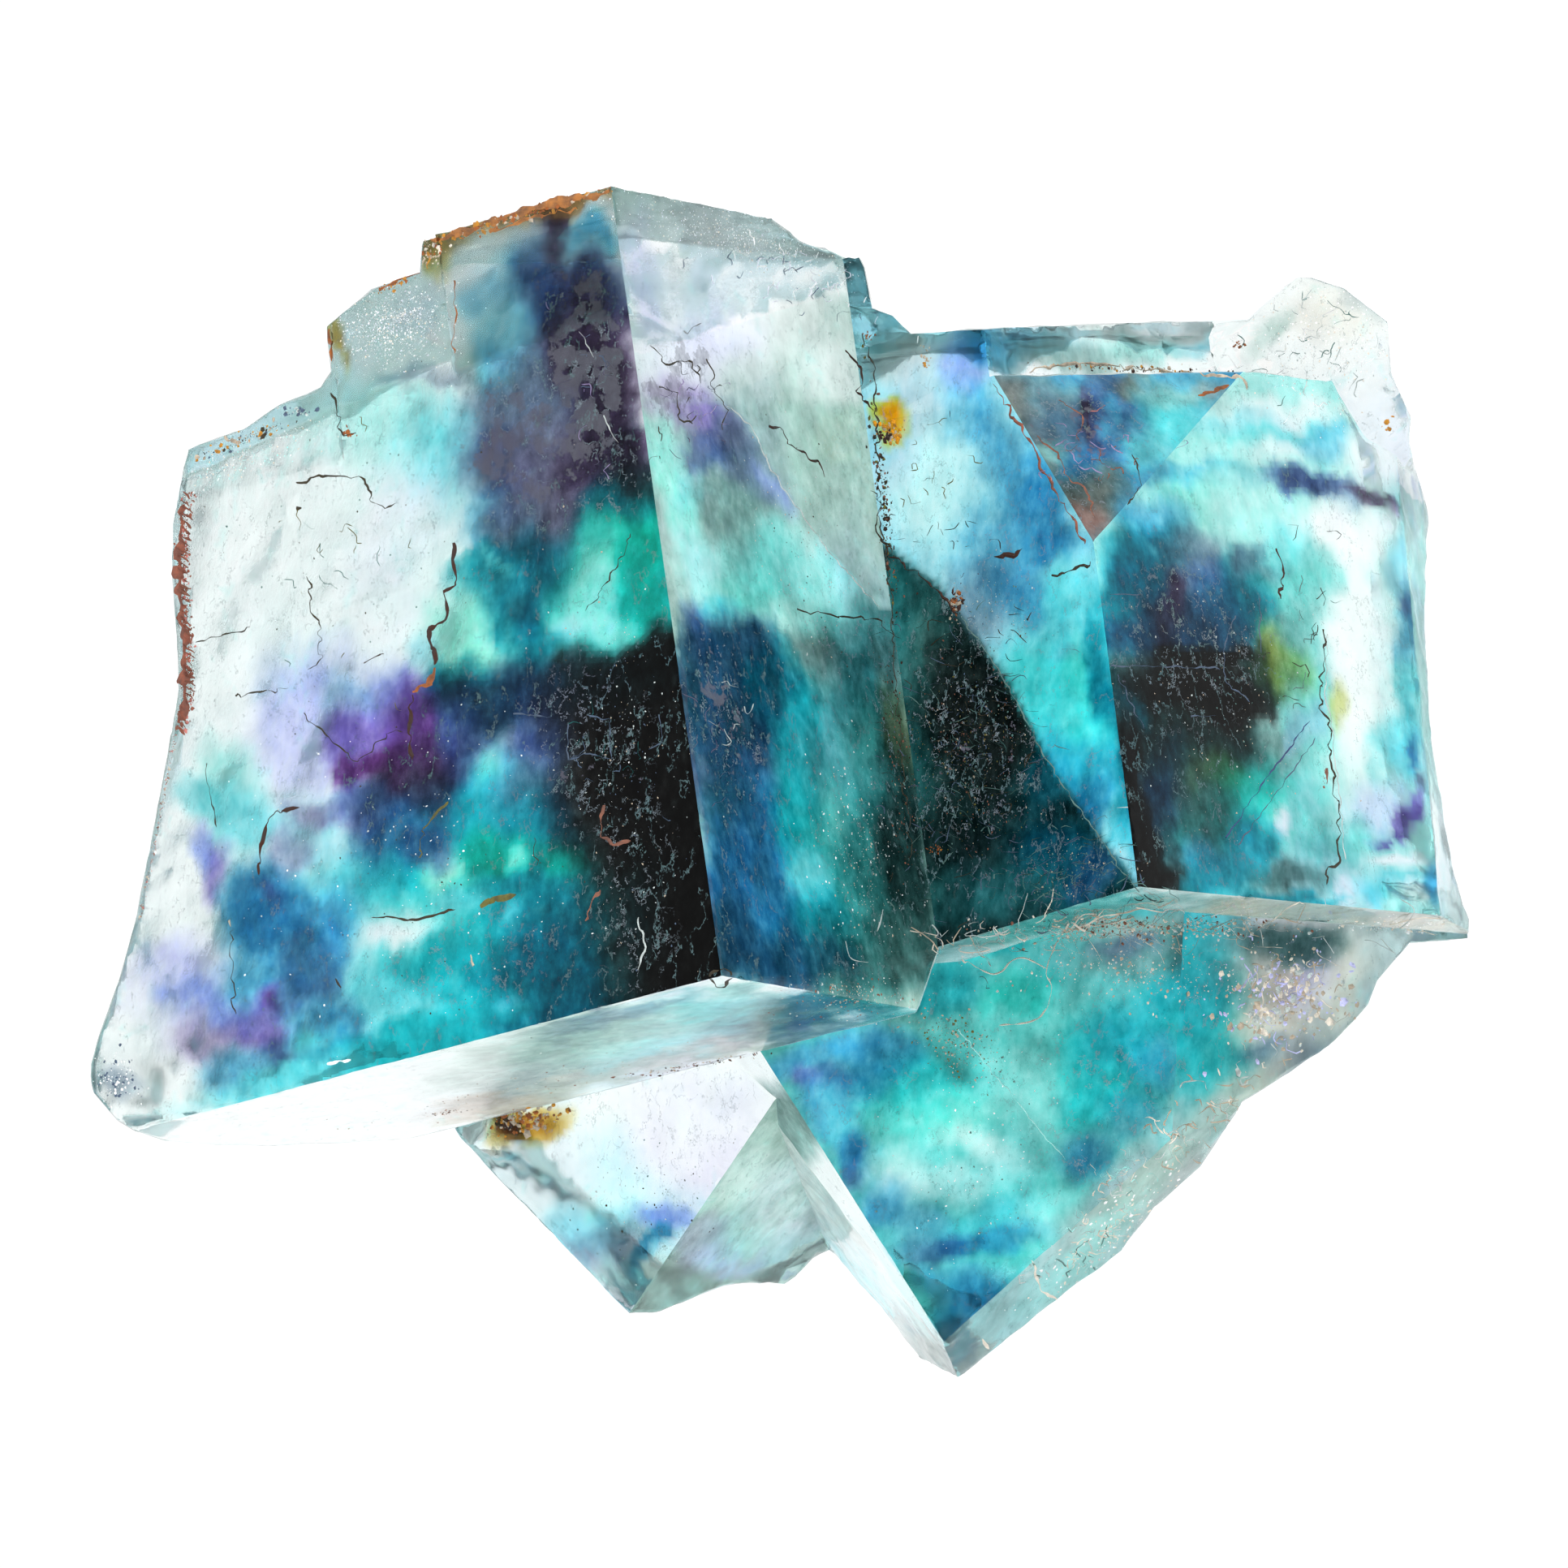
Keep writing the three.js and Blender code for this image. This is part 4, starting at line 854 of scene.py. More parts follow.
fine = noise_texture(tree, upright, 4 * PER_MM, 4, 0.62)
power = calc(tree, "MULTIPLY_ADD", fine, 1.0, 0.5)
zone = node(tree, "ShaderNodeGamma", {"Color": painted_on(tree, "zone"), "Gamma": power}).outputs[0]

# Acid has left crusted islands with pale rims, and hairline veins run everywhere.
bite = noise_texture(tree, where, 1.5 * PER_MM, 6, 0.66)
islands = ramp(tree, calc(tree, "MULTIPLY_ADD", etching, 0.35, bite), 0.83, 0.87)
crusted = blend(tree, calc(tree, "MULTIPLY", islands, calc(tree, "MULTIPLY", fine, 1.2)), zone, CRUST)
rims = hairlines(tree, bite, 0.47, 1.0, fine, 0.5, 0.56)
rims = calc(tree, "MULTIPLY", rims, ramp(tree, etching, 0.1, 0.5))
vein = noise_texture(tree, upright, 0.9 * PER_MM, 6, 0.62)
veins = hairlines(tree, vein, 0.5, 0.55, fine, 0.46, 0.58)
tint = blend(tree, veins, blend(tree, rims, crusted, RIM), VEIN)

bump = node(tree, "ShaderNodeBump", {
    "Height": calc(tree, "MULTIPLY", fine, finish[1]), "Strength": 0.3, "Distance": BUMP,
}).outputs[0]
shader = node(tree, "ShaderNodeBsdfPrincipled", {
    "Base Color": tint, "Roughness": finish[0], "Normal": bump,
    "Transmission Weight": 0.97, "IOR": IOR, "Specular Tint": (0.1, 0.1, 0.1, 1),
})
absorb = node(tree, "ShaderNodeVolumeAbsorption", {"Color": (0.80, 0.95, 0.97, 1), "Density": 12.0})
node(tree, "ShaderNodeOutputMaterial", {"Surface": shader.outputs[0], "Volume": absorb.outputs[0]})
data.materials.append(fluorite)
data.polygons.foreach_set("use_smooth", np.ones(len(data.polygons), bool))
data.set_sharp_from_angle(angle=math.radians(22))
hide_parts("fluorite_cluster")
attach(crystal, "root")

# %% [markdown]
# ## Laying things on the faces
# Cracks, stains, dust and lint all lie on the faces. Each is given by a few points seen in plan, and
# dropped from above until it meets the crystal, so it follows every ledge and edge.

# %% Drop from above
surface = BVHTree.FromPolygons([tuple(p) for p in place], [tuple(t) for t in triangles.tolist()])
chance = np.random.default_rng(17)
ABOVE = 40  # mm, over the highest point
DOWN = Vector((0, 0, -1))
SPREAD = 0.45  # the share of an oval's reach within which most things fall


def drop(px, py):
    """The point below (px, py) on the crystal and the surface's normal there, or None beside it."""
    hit, normal, _, _ = surface.ray_cast(Vector((px + shift[0], py + shift[1], ABOVE)), DOWN)
    return (np.array(hit), np.array(normal)) if hit else None


def pick(tones):
    return tones[chance.integers(len(tones))]


def spot_in(middle, reach, turn):
    """A random place in a turned oval, likeliest near its middle."""
    a = math.radians(turn)
    u, v = chance.normal(0, SPREAD, 2) * reach
    return middle[0] + u * math.cos(a) - v * math.sin(a), middle[1] + u * math.sin(a) + v * math.cos(a)


# %% Ridges, flakes and scribbles
SWAY_SIZE, THICK_SIZE = 0.15, 0.22  # mm over which a ridge wanders and changes its width
PROUD = 0.012  # mm that even the thinnest ridge stands up


def ridge(points, width, tone, step=0.07, wander=0.05, rise=0.35, lift=0.0):
    """A low ridge of uneven width along a line: rings of four points, joined into a closed strip."""
    points = np.array(points, float)
    along = np.concatenate([[0], np.cumsum(np.linalg.norm(np.diff(points, axis=0), axis=1))])
    at_length = np.linspace(0, along[-1], max(3, int(along[-1] / step)))
    line = np.column_stack([np.interp(at_length, along, points[:, i]) for i in (0, 1)])
    sway = [noise(np.column_stack([line, line * 0 + k])[:, :3], SWAY_SIZE, k) for k in (3, 8)]
    line += np.column_stack(sway) * wander
    thick = 0.2 + 0.8 * smooth(-0.5, 0.5, noise(np.column_stack([line, line])[:, :3], THICK_SIZE, 12))
    taper = np.minimum(1, np.minimum(at_length, along[-1] - at_length) / (1.5 * width) + 0.3)
    rings = []
    previous = None
    for (px, py), size, here in zip(line, width * thick * taper, at_length / max(along[-1], 1e-6)):
        landed = drop(px, py)
        if landed is None:
            continue
        centre, normal = landed
        centre = centre + normal * lift * math.sin(math.pi * here)
        if previous is not None:
            side = np.cross(normal, centre - previous)
            side /= max(np.linalg.norm(side), 1e-9)
            rings.append(np.array([centre + side * size / 2, centre + normal * (size * rise + PROUD),
                                   centre - side * size / 2, centre - normal * size * 0.4]))
        previous = centre
    if len(rings) < 2:
        return None
    faces = [(4 * i + j, 4 * i + (j + 1) % 4, 4 * i + 4 + (j + 1) % 4, 4 * i + 4 + j)
             for i in range(len(rings) - 1) for j in range(4)]
    last = 4 * len(rings) - 4
    faces += [(3, 2, 1, 0), (last, last + 1, last + 2, last + 3)]
    return np.vstack(rings), faces, PALETTE[tone]


GRAIN = np.array([(1, 0, 0), (0.3, 1, 0), (-0.9, 0.5, 0), (-0.6, -0.8, 0), (0.5, -0.9, 0),
                  (0, 0, 1), (0, 0, -1)])
GRAIN_FACES = [(i, (i + 1) % 5, 5) for i in range(5)] + [((i + 1) % 5, i, 6) for i in range(5)]
FLAT = 0.4  # a grain's thickness for its width
BENDS = (-1.5, -0.8, 0.1, 0.8, 1.5)  # radians, by which a scribble turns at each step


def grain(px, py, size, tone):
    """One uneven flake, turned at random and lying on the face."""
    landed = drop(px, py)
    if landed is None:
        return None
    centre, normal = landed
    turn = chance.uniform(0, 2 * math.pi)
    u = np.cross(normal, (math.cos(turn), math.sin(turn), 0.1))
    u /= np.linalg.norm(u)
    axes = np.array([u, np.cross(normal, u) * chance.uniform(0.4, 1), normal * FLAT])
    shape = GRAIN * chance.uniform(0.6, 1.3, (7, 1)) * size / 2
    return centre + shape @ axes, GRAIN_FACES, PALETTE[tone]


def grains(middle, reach, turn, count, sizes, tones):
    """Flakes scattered in a turned oval, thickest in its middle and mostly near the smaller size."""
    made = []
    for _ in range(count):
        spot = spot_in(middle, reach, turn)
        size = sizes[0] + (sizes[1] - sizes[0]) * chance.random() ** 3
        made.append(grain(*spot, size, pick(tones)))
    return made


def scribbles(middle, reach, turn, count, length, width, tones):
    """Short stepped lines in a turned oval, as etching leaves along a cube's edges."""
    made = []
    for _ in range(count):
        path = [np.array(spot_in(middle, reach, turn))]
        heading = chance.uniform(0, 2 * math.pi)
        for _ in range(chance.integers(2, 5)):
            heading += chance.choice(BENDS)
            ahead = np.array([math.cos(heading), math.sin(heading)])
            path.append(path[-1] + ahead * length * chance.uniform(0.3, 1))
        made.append(ridge(path, width, pick(tones), wander=0.03, step=0.05))
    return made


def lines(table, **shape):
    """A ridge for each row: its colour, its width and its points in plan."""
    return [ridge(points, width, tone, **shape) for tone, width, points in table]


def scatter(make, table):
    """The grains or scribbles of each row."""
    return [part for spread in table for part in make(*spread)]


# %% Join the parts and give them a finish
LOW, HIGH = 0.3, 0.7  # nearly all of a noise texture lies between these


def earthy(name, mottling, size, gloss, grit):
    """A dull mineral finish: the part's own colour, mottled at `size` mm, with an uneven gloss."""
    made, tree = material(name)
    where = place_of(tree)
    broad = noise_texture(tree, where, PER_MM / size, 4, 0.65)
    level = ramp(tree, broad, LOW, HIGH, 1 - mottling, 1 + mottling)
    grey = node(tree, "ShaderNodeCombineColor", {0: level, 1: level, 2: level}).outputs[0]
    grit_height = noise_texture(tree, where, 4 * PER_MM / size, 3, 0.6)
    bump = node(tree, "ShaderNodeBump", {
        "Height": grit_height, "Strength": grit, "Distance": BUMP,
    }).outputs[0]
    shader = node(tree, "ShaderNodeBsdfPrincipled", {
        "Base Color": blend(tree, 1.0, painted_on(tree, "tone"), grey, "MULTIPLY"), "Normal": bump,
        "Roughness": ramp(tree, broad, LOW, HIGH, *gloss), "IOR": 1.5,
    })
    node(tree, "ShaderNodeOutputMaterial", {"Surface": shader.outputs[0]})
    return made


def join(name, parts, *finish):
    """Join parts into one piece that carries each part's colour."""
    parts = [part for part in parts if part]
    points, faces, tones = [], [], []
    for shape, shape_faces, tone in parts:
        base = len(points)
        points += (shape * MM).tolist()
        faces += [tuple(base + i for i in face) for face in shape_faces]
        tones += [tone] * sum(len(face) for face in shape_faces)
    made = add(name, bpy.data.meshes.new(name))
    made.data.from_pydata(points, [], faces)
    store(made.data, "tone", to_linear(np.array(tones)))
    made.data.materials.append(earthy(*finish))
    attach(made, "root")
    print(name, "has", len(parts), "parts and", len(faces), "faces")


# %% [markdown]
# ## Cracks that iron has stained
# Fluorite cracks along flat planes, so where a crack meets a face it runs straight, jumps sideways
# and runs on. Rusty water has dried in them, thick at the jumps and thin between.

# %% Lay the cracks
# colour, width and the points in plan, in mm
CRACKS = [
    ("umber", 0.15, [(-8.05, 6.0), (-8.0, 4.9), (-8.3, 4.75), (-8.2, 4.1), (-8.6, 3.9), (-8.5, 3.0)]),
    ("rust", 0.20, [(-8.5, 3.0), (-8.65, 2.5), (-9.05, 2.3)]),
    ("umber", 0.13, [(-9.05, 2.3), (-9.1, 1.5), (-9.05, 0.7)]),
    ("bark", 0.07, [(-11.9, 7.4), (-11.3, 7.65), (-10.7, 7.6), (-10.2, 7.55), (-10.0, 6.95), (-9.65, 6.8),
                    (-9.4, 6.95)]),
    ("bark", 0.14, [(-12.0, 6.8), (-11.75, 6.8)]),
    ("bark", 0.06, [(-11.6, 5.2), (-11.5, 4.3), (-11.3, 3.9), (-11.3, 3.0), (-11.65, 2.85)]),
    ("umber", 0.10, [(-10.3, 3.05), (-9.7, 3.2)]),
    ("bark", 0.05, [(-13.5, 2.2), (-12.1, 2.4)]),
    ("bark", 0.04, [(-14.4, 3.5), (-13.0, 3.9)]),
    ("bark", 0.05, [(-14.15, 0.6), (-13.9, -1.0)]),
    ("umber", 0.13, [(-12.8, -2.2), (-12.7, -1.4), (-12.65, -0.9), (-12.4, -0.6), (-11.8, -0.5)]),
    ("bark", 0.05, [(-11.8, 1.8), (-11.5, 1.6), (-10.4, 0.6), (-9.9, 1.1), (-9.3, 1.4)]),
    ("bark", 0.07, [(-10.1, -3.2), (-9.0, -3.25), (-8.4, -3.1), (-7.9, -3.0)]),
    ("moss stain", 0.17, [(-7.4, -2.95), (-7.0, -2.75), (-6.5, -2.7)]),
    ("moss stain", 0.07, [(-8.9, -1.8), (-8.7, -1.0), (-8.2, -0.4)]),
    ("sand", 0.22, [(-7.65, -4.0), (-7.55, -4.4)]),
    ("clay", 0.10, [(-4.3, -0.4), (-4.4, -1.2), (-4.0, -1.4), (-3.6, -1.35)]),
    ("clay", 0.14, [(-4.85, -3.3), (-4.45, -2.5)]),
    ("bark", 0.14, [(-10.9, -4.6), (-10.85, -4.9)]),
    ("bark", 0.06, [(-6.0, -1.2), (-6.0, -1.9)]),
    ("sand", 0.20, [(-13.6, -3.2), (-13.55, -3.4)]),
    ("bark", 0.04, [(-13.5, -3.4), (-13.4, -5.6)]),
    ("bark", 0.05, [(-3.6, 6.2), (-4.0, 5.4), (-4.75, 4.3)]),
    ("rust", 0.07, [(-8.0, 12.5), (-8.0, 10.6)]),
    ("rust", 0.13, [(-11.1, 11.3), (-11.0, 10.5)]),
    ("bark", 0.07, [(-11.0, 9.7), (-10.8, 8.7), (-10.5, 8.65)]),
    ("rust", 0.12, [(-10.0, 12.1), (-9.4, 12.5), (-8.9, 12.6)]),
    ("bark", 0.06, [(-3.0, 9.8), (-2.6, 9.6), (-2.5, 9.0), (-2.1, 8.9)]),
    ("bark", 0.06, [(-3.2, 10.8), (-2.8, 10.3), (-2.2, 10.4), (-1.9, 9.9)]),
    ("bark", 0.06, [(-1.8, 10.6), (-1.6, 9.6), (-1.3, 9.2), (-1.4, 8.7)]),
    ("umber", 0.08, [(-0.3, 8.9), (0.0, 8.8), (0.2, 8.4), (0.9, 8.0), (1.1, 7.6)]),
    ("bark", 0.05, [(0.4, 4.3), (1.2, 4.2), (2.3, 4.15), (2.9, 3.6)]),
    ("umber", 0.08, [(1.6, 10.8), (2.0, 10.2), (1.9, 9.6), (2.3, 9.2)]),
    ("bark", 0.07, [(2.2, 7.4), (2.5, 6.9), (2.3, 6.3), (2.7, 5.8)]),
    ("umber", 0.14, [(5.2, 5.6), (6.0, 5.8)]),
    ("bark", 0.10, [(6.6, 5.2), (7.0, 5.2), (7.6, 5.5)]),
    ("sand", 0.11, [(6.0, 10.2), (7.4, 10.45), (9.0, 10.3), (11.4, 10.05), (11.5, 9.8)]),
    ("rust", 0.13, [(10.2, 9.6), (11.0, 9.9)]),
    ("brick", 0.09, [(5.2, 9.9), (5.8, 9.0), (6.5, 7.7), (7.0, 6.9), (7.5, 5.9)]),
    ("clay", 0.07, [(6.2, 8.6), (6.8, 8.2), (7.0, 7.6), (7.6, 7.2), (7.7, 6.6)]),
    ("clay", 0.06, [(6.8, 9.6), (7.4, 9.1), (7.3, 8.5)]),
    ("bark", 0.06, [(8.6, 8.2), (8.9, 7.4), (8.5, 6.9)]),
    ("bark", 0.08, [(13.4, 3.9), (13.3, 2.5), (13.3, 1.9), (13.5, 1.6), (13.8, -1.9), (13.5, -2.0),
                    (13.5, -2.4)]),
    ("clay", 0.12, [(13.4, 0.5), (13.45, 0.1)]),
    ("umber", 0.10, [(12.2, 5.9), (12.4, 5.2), (12.3, 4.6)]),
    ("toffee", 0.30, [(-8.6, 13.35), (-7.8, 13.6), (-6.8, 13.9), (-5.6, 14.3), (-4.2, 14.5)]),
    ("gilt", 0.24, [(-8.7, 13.2), (-8.65, 12.7)]),
    ("toffee", 0.12, [(-7.2, 13.55), (-6.0, 13.95), (-5.0, 14.15)]),
    ("bark", 0.06, [(2.0, 11.2), (2.3, 10.2), (2.4, 8.2), (2.45, 6.4), (2.7, 5.0), (2.75, 4.0), (2.8, 2.4),
                    (3.0, 0.4), (3.2, -1.8)]),
]
BEAD = 0.24  # mm, the radius of a ring around the large crystal's corner
ring = [(-1.45 + BEAD * math.cos(a), -4.66 + BEAD * math.sin(a)) for a in np.linspace(0, 2 * math.pi, 12)]
STAIN = {"rise": 0.15, "wander": 0.09}
cracks = lines(CRACKS, **STAIN)
cracks += [ridge(arc[:4], 0.08, "umber", **STAIN), ridge(ring, 0.10, "bark", **STAIN)]
join("iron_cracks", cracks, "iron_crack", 0.5, 0.3, (0.45, 0.9), 0.5)

# %% [markdown]
# ## Etched lines
# Acid water has bitten thin stepped lines and little rings into the faces. They show pale over the
# dark zones and dark over the pale ones, as frosted hairlines.

# %% Lay the etched lines
ETCHED = [
    ("slate", 0.045, [(-5.2, 1.6), (-5.2, 0.65), (-4.65, 0.8), (-4.15, 0.65), (-4.15, 1.6), (-4.7, 1.75)]),
    ("slate", 0.045, [(-6.6, 1.8), (-5.6, 1.7)]),
    ("slate", 0.05, [(-3.0, 1.8), (-2.9, 1.1), (-3.2, 0.9)]),
    ("mist", 0.06, [(-3.5, -3.1), (-3.3, -4.0), (-3.5, -4.5)]),
    ("mist", 0.04, [(-4.95, 11.2), (-4.6, 10.5)]),
    ("mist", 0.04, [(-4.4, 9.1), (-3.95, 8.4)]),
    ("white", 0.10, [(-11.2, -6.8), (-10.5, -6.7)]),
    ("slate", 0.045, [(8.0, 2.95), (9.4, 2.95), (10.8, 2.9)]),
    ("slate", 0.045, [(8.2, 2.8), (8.9, 1.4)]),
    ("slate", 0.045, [(11.2, 4.3), (10.9, 3.5), (10.9, 2.6), (11.5, 2.1)]),
    ("slate", 0.045, [(11.8, 4.7), (11.8, 3.3)]),
    ("slate", 0.045, [(8.0, 4.7), (8.8, 4.7), (8.7, 4.4)]),
    ("slate", 0.045, [(10.0, 1.7), (10.7, 1.75)]),
    ("indigo", 0.05, [(10.9, -1.3), (12.0, 0.3), (13.0, 1.6)]),
    ("slate", 0.05, [(11.2, -1.5), (12.3, 0.0), (13.2, 1.2)]),
    ("mist", 0.04, [(13.5, 3.8), (13.4, 2.3), (13.6, 1.4), (13.9, -1.8)]),
    ("cream", 0.10, [(6.2, -11.6), (6.4, -12.4), (7.0, -12.8)]),
    ("cream", 0.10, [(7.3, -12.2), (7.6, -12.8)]),
    ("cream", 0.16, [(4.9, -13.6), (5.1, -13.9)]),
    ("aqua", 0.03, [(4.3, -5.9), (5.6, -7.5), (7.0, -9.2)]),
]
SCRIBBLES = [  # middle, reach, turn, how many, step, width, colours
    ((-4.5, 9.9), (0.9, 2.4), 8, 16, 0.20, 0.028, ("mauve", "dusk", "slate")),
    ((-4.6, 0.6), (2.0, 1.6), 0, 12, 0.26, 0.028, ("slate", "pine")),
    ((-1.4, 1.4), (0.8, 2.2), 8, 16, 0.24, 0.028, ("mist", "slate", "dusk")),
    ((-2.2, 9.4), (1.1, 1.6), 0, 24, 0.20, 0.035, ("bark", "dusk", "mauve")),
    ((12.8, 4.0), (1.6, 3.4), 0, 16, 0.24, 0.028, ("bark", "sage")),
    ((3.7, 7.4), (1.0, 1.6), 0, 18, 0.20, 0.030, ("bark", "moss stain")),
    ((-10.8, 5.6), (2.6, 3.6), 0, 20, 0.24, 0.025, ("moss stain", "sage")),
    ((7.6, 8.2), (1.6, 1.4), 0, 24, 0.20, 0.040, ("clay", "mauve", "rose")),
    ((10.6, -8.0), (3.0, 0.8), 42, 60, 0.24, 0.045, ("cream", "sand", "mist")),
    ((7.6, -11.4), (2.0, 0.6), 42, 40, 0.20, 0.045, ("cream", "mist", "sage")),
    ((8.4, -9.8), (1.8, 0.5), 45, 40, 0.22, 0.040, ("cream", "mist", "aqua")),
    ((13.5, 11.0), (2.2, 2.0), 0, 50, 0.26, 0.030, ("white", "mist", "sage")),
    ((0.4, 12.4), (2.6, 0.9), -15, 50, 0.22, 0.030, ("white", "lavender", "slate")),
    ((12.6, -5.2), (1.6, 1.4), 30, 70, 0.22, 0.040, ("sand", "cream", "lilac")),
]
etched = lines(ETCHED, rise=0.2)
etched += [ridge(arc[3:], 0.05, "sage", rise=0.2), ridge(veil, 0.05, "mist", rise=0.2)]
etched += scatter(scribbles, SCRIBBLES)
join("etched_lines", etched, "etched_line", 0.25, 0.4, (0.3, 0.6), 0.2)

# %% [markdown]
# ## Iron crusts
# Where rusty water stood it left a crust of grains: a ribbed one down the thin left edge, one along
# the top, an amber plug between the two big crystals and spots on the ledges.

# %% Lay the crusts
OUTSIDE = -18.0  # mm, left of the crystal
RIB_START, RIB_END, RIB_PITCH = 1.4, 7.3, 0.17  # mm along y


def left_rim(py):
    """The x of the crystal's left edge, found by stepping in from outside."""
    px = OUTSIDE
    while drop(px, py) is None and px < 0:
        px += 0.04
    return px


rim = [(left_rim(py) + 0.16, py) for py in np.arange(1.5, 7.2, 0.3)]
crusts = [ridge(rim, 0.42, "brick", rise=0.15, wander=0.06)]
for py in np.arange(RIB_START, RIB_END, RIB_PITCH):
    px = left_rim(py) + 0.10
    reach = 0.17 + 0.10 * smooth(RIB_START, 3.0, py) * smooth(RIB_END, 6.4, py)
    rib = [(px - 0.06, py + 0.12), (px + 0.5 * reach, py), (px + 1.1 * reach, py - 0.12)]
    crusts.append(ridge(rib, 0.13, pick(("clay", "brick", "brick")), rise=0.6, wander=0.05))
    crusts += grains((px + 0.16, py), (0.18, 0.10), 0, 9, (0.05, 0.15), ("brick", "rose", "clay"))
for py in np.arange(-3.2, RIB_START, 0.10):
    crusts += grains((left_rim(py) + 0.10, py), (0.06, 0.08), 0, 3, (0.03, 0.09), ("rose", "clay", "sand"))
CRUSTS = [  # middle, reach, turn, how many, least and greatest size, colours
    ((-6.4, 14.0), (2.6, 0.16), 16, 260, (0.04, 0.22), ("rust", "gilt", "sand")),
    ((-8.5, 13.1), (0.4, 0.4), 0, 60, (0.04, 0.18), ("sand", "rust", "cream")),
    ((-9.5, 12.3), (0.6, 0.12), 22, 40, (0.04, 0.14), ("rust", "gilt")),
    ((-10.6, 8.65), (0.18, 0.14), 0, 16, (0.05, 0.16), ("rust",)),
    ((-13.2, 8.55), (1.3, 0.16), 22, 110, (0.04, 0.20), ("sand", "gilt", "slate", "bark")),
    ((-11.9, 9.2), (0.6, 0.16), 0, 40, (0.04, 0.16), ("slate", "mist")),
    ((-6.3, -8.25), (0.9, 0.30), 8, 200, (0.05, 0.26), ("gilt", "sand", "rust")),
    ((-6.8, -8.35), (0.3, 0.16), 10, 60, (0.05, 0.20), ("umber", "bark")),
    ((-8.3, -8.05), (0.5, 0.06), 8, 40, (0.04, 0.12), ("rust", "umber")),
    ((2.7, 8.75), (0.34, 0.34), 70, 90, (0.06, 0.24), ("gilt", "amber", "sand")),
    ((2.6, 8.6), (0.14, 0.16), 0, 24, (0.06, 0.20), ("umber",)),
    ((2.9, 0.8), (0.40, 3.4), 4, 460, (0.02, 0.10), ("bark", "umber", "moss", "clay")),
    ((2.5, 7.2), (0.20, 3.0), 6, 260, (0.03, 0.16), ("moss stain", "umber", "bark", "clay")),
    ((2.2, 11.1), (0.2, 0.12), 0, 14, (0.05, 0.16), ("rust",)),
    ((3.6, 10.5), (0.14, 0.4), 10, 26, (0.04, 0.14), ("gilt", "sand")),
    ((4.3, 4.5), (0.16, 0.40), 0, 70, (0.05, 0.22), ("umber", "rust", "sand")),
    ((3.75, -1.55), (0.26, 0.12), 0, 18, (0.05, 0.20), ("rust", "gilt")),
    ((11.3, 10.9), (0.14, 0.10), 0, 10, (0.05, 0.14), ("rust",)),
    ((8.6, 10.3), (2.8, 0.10), -2, 120, (0.04, 0.16), ("gilt", "sand", "umber")),
    ((15.0, 9.0), (0.14, 0.2), 0, 12, (0.05, 0.14), ("gilt",)),
    ((13.4, 0.2), (0.08, 0.3), 0, 16, (0.04, 0.12), ("clay",)),
    ((12.4, -5.4), (1.6, 1.2), 30, 120, (0.06, 0.34), ("sand", "cream", "lilac", "mist")),
    ((-2.4, -6.9), (2.2, 0.10), 10, 110, (0.04, 0.14), ("sand", "umber", "clay")),
    ((2.8, 4.9), (0.5, 0.5), 0, 16, (0.04, 0.12), ("umber", "clay")),
]
crusts += scatter(grains, CRUSTS)
join("iron_crusts", crusts, "iron_crust", 0.4, 0.2, (0.5, 0.95), 0.7)
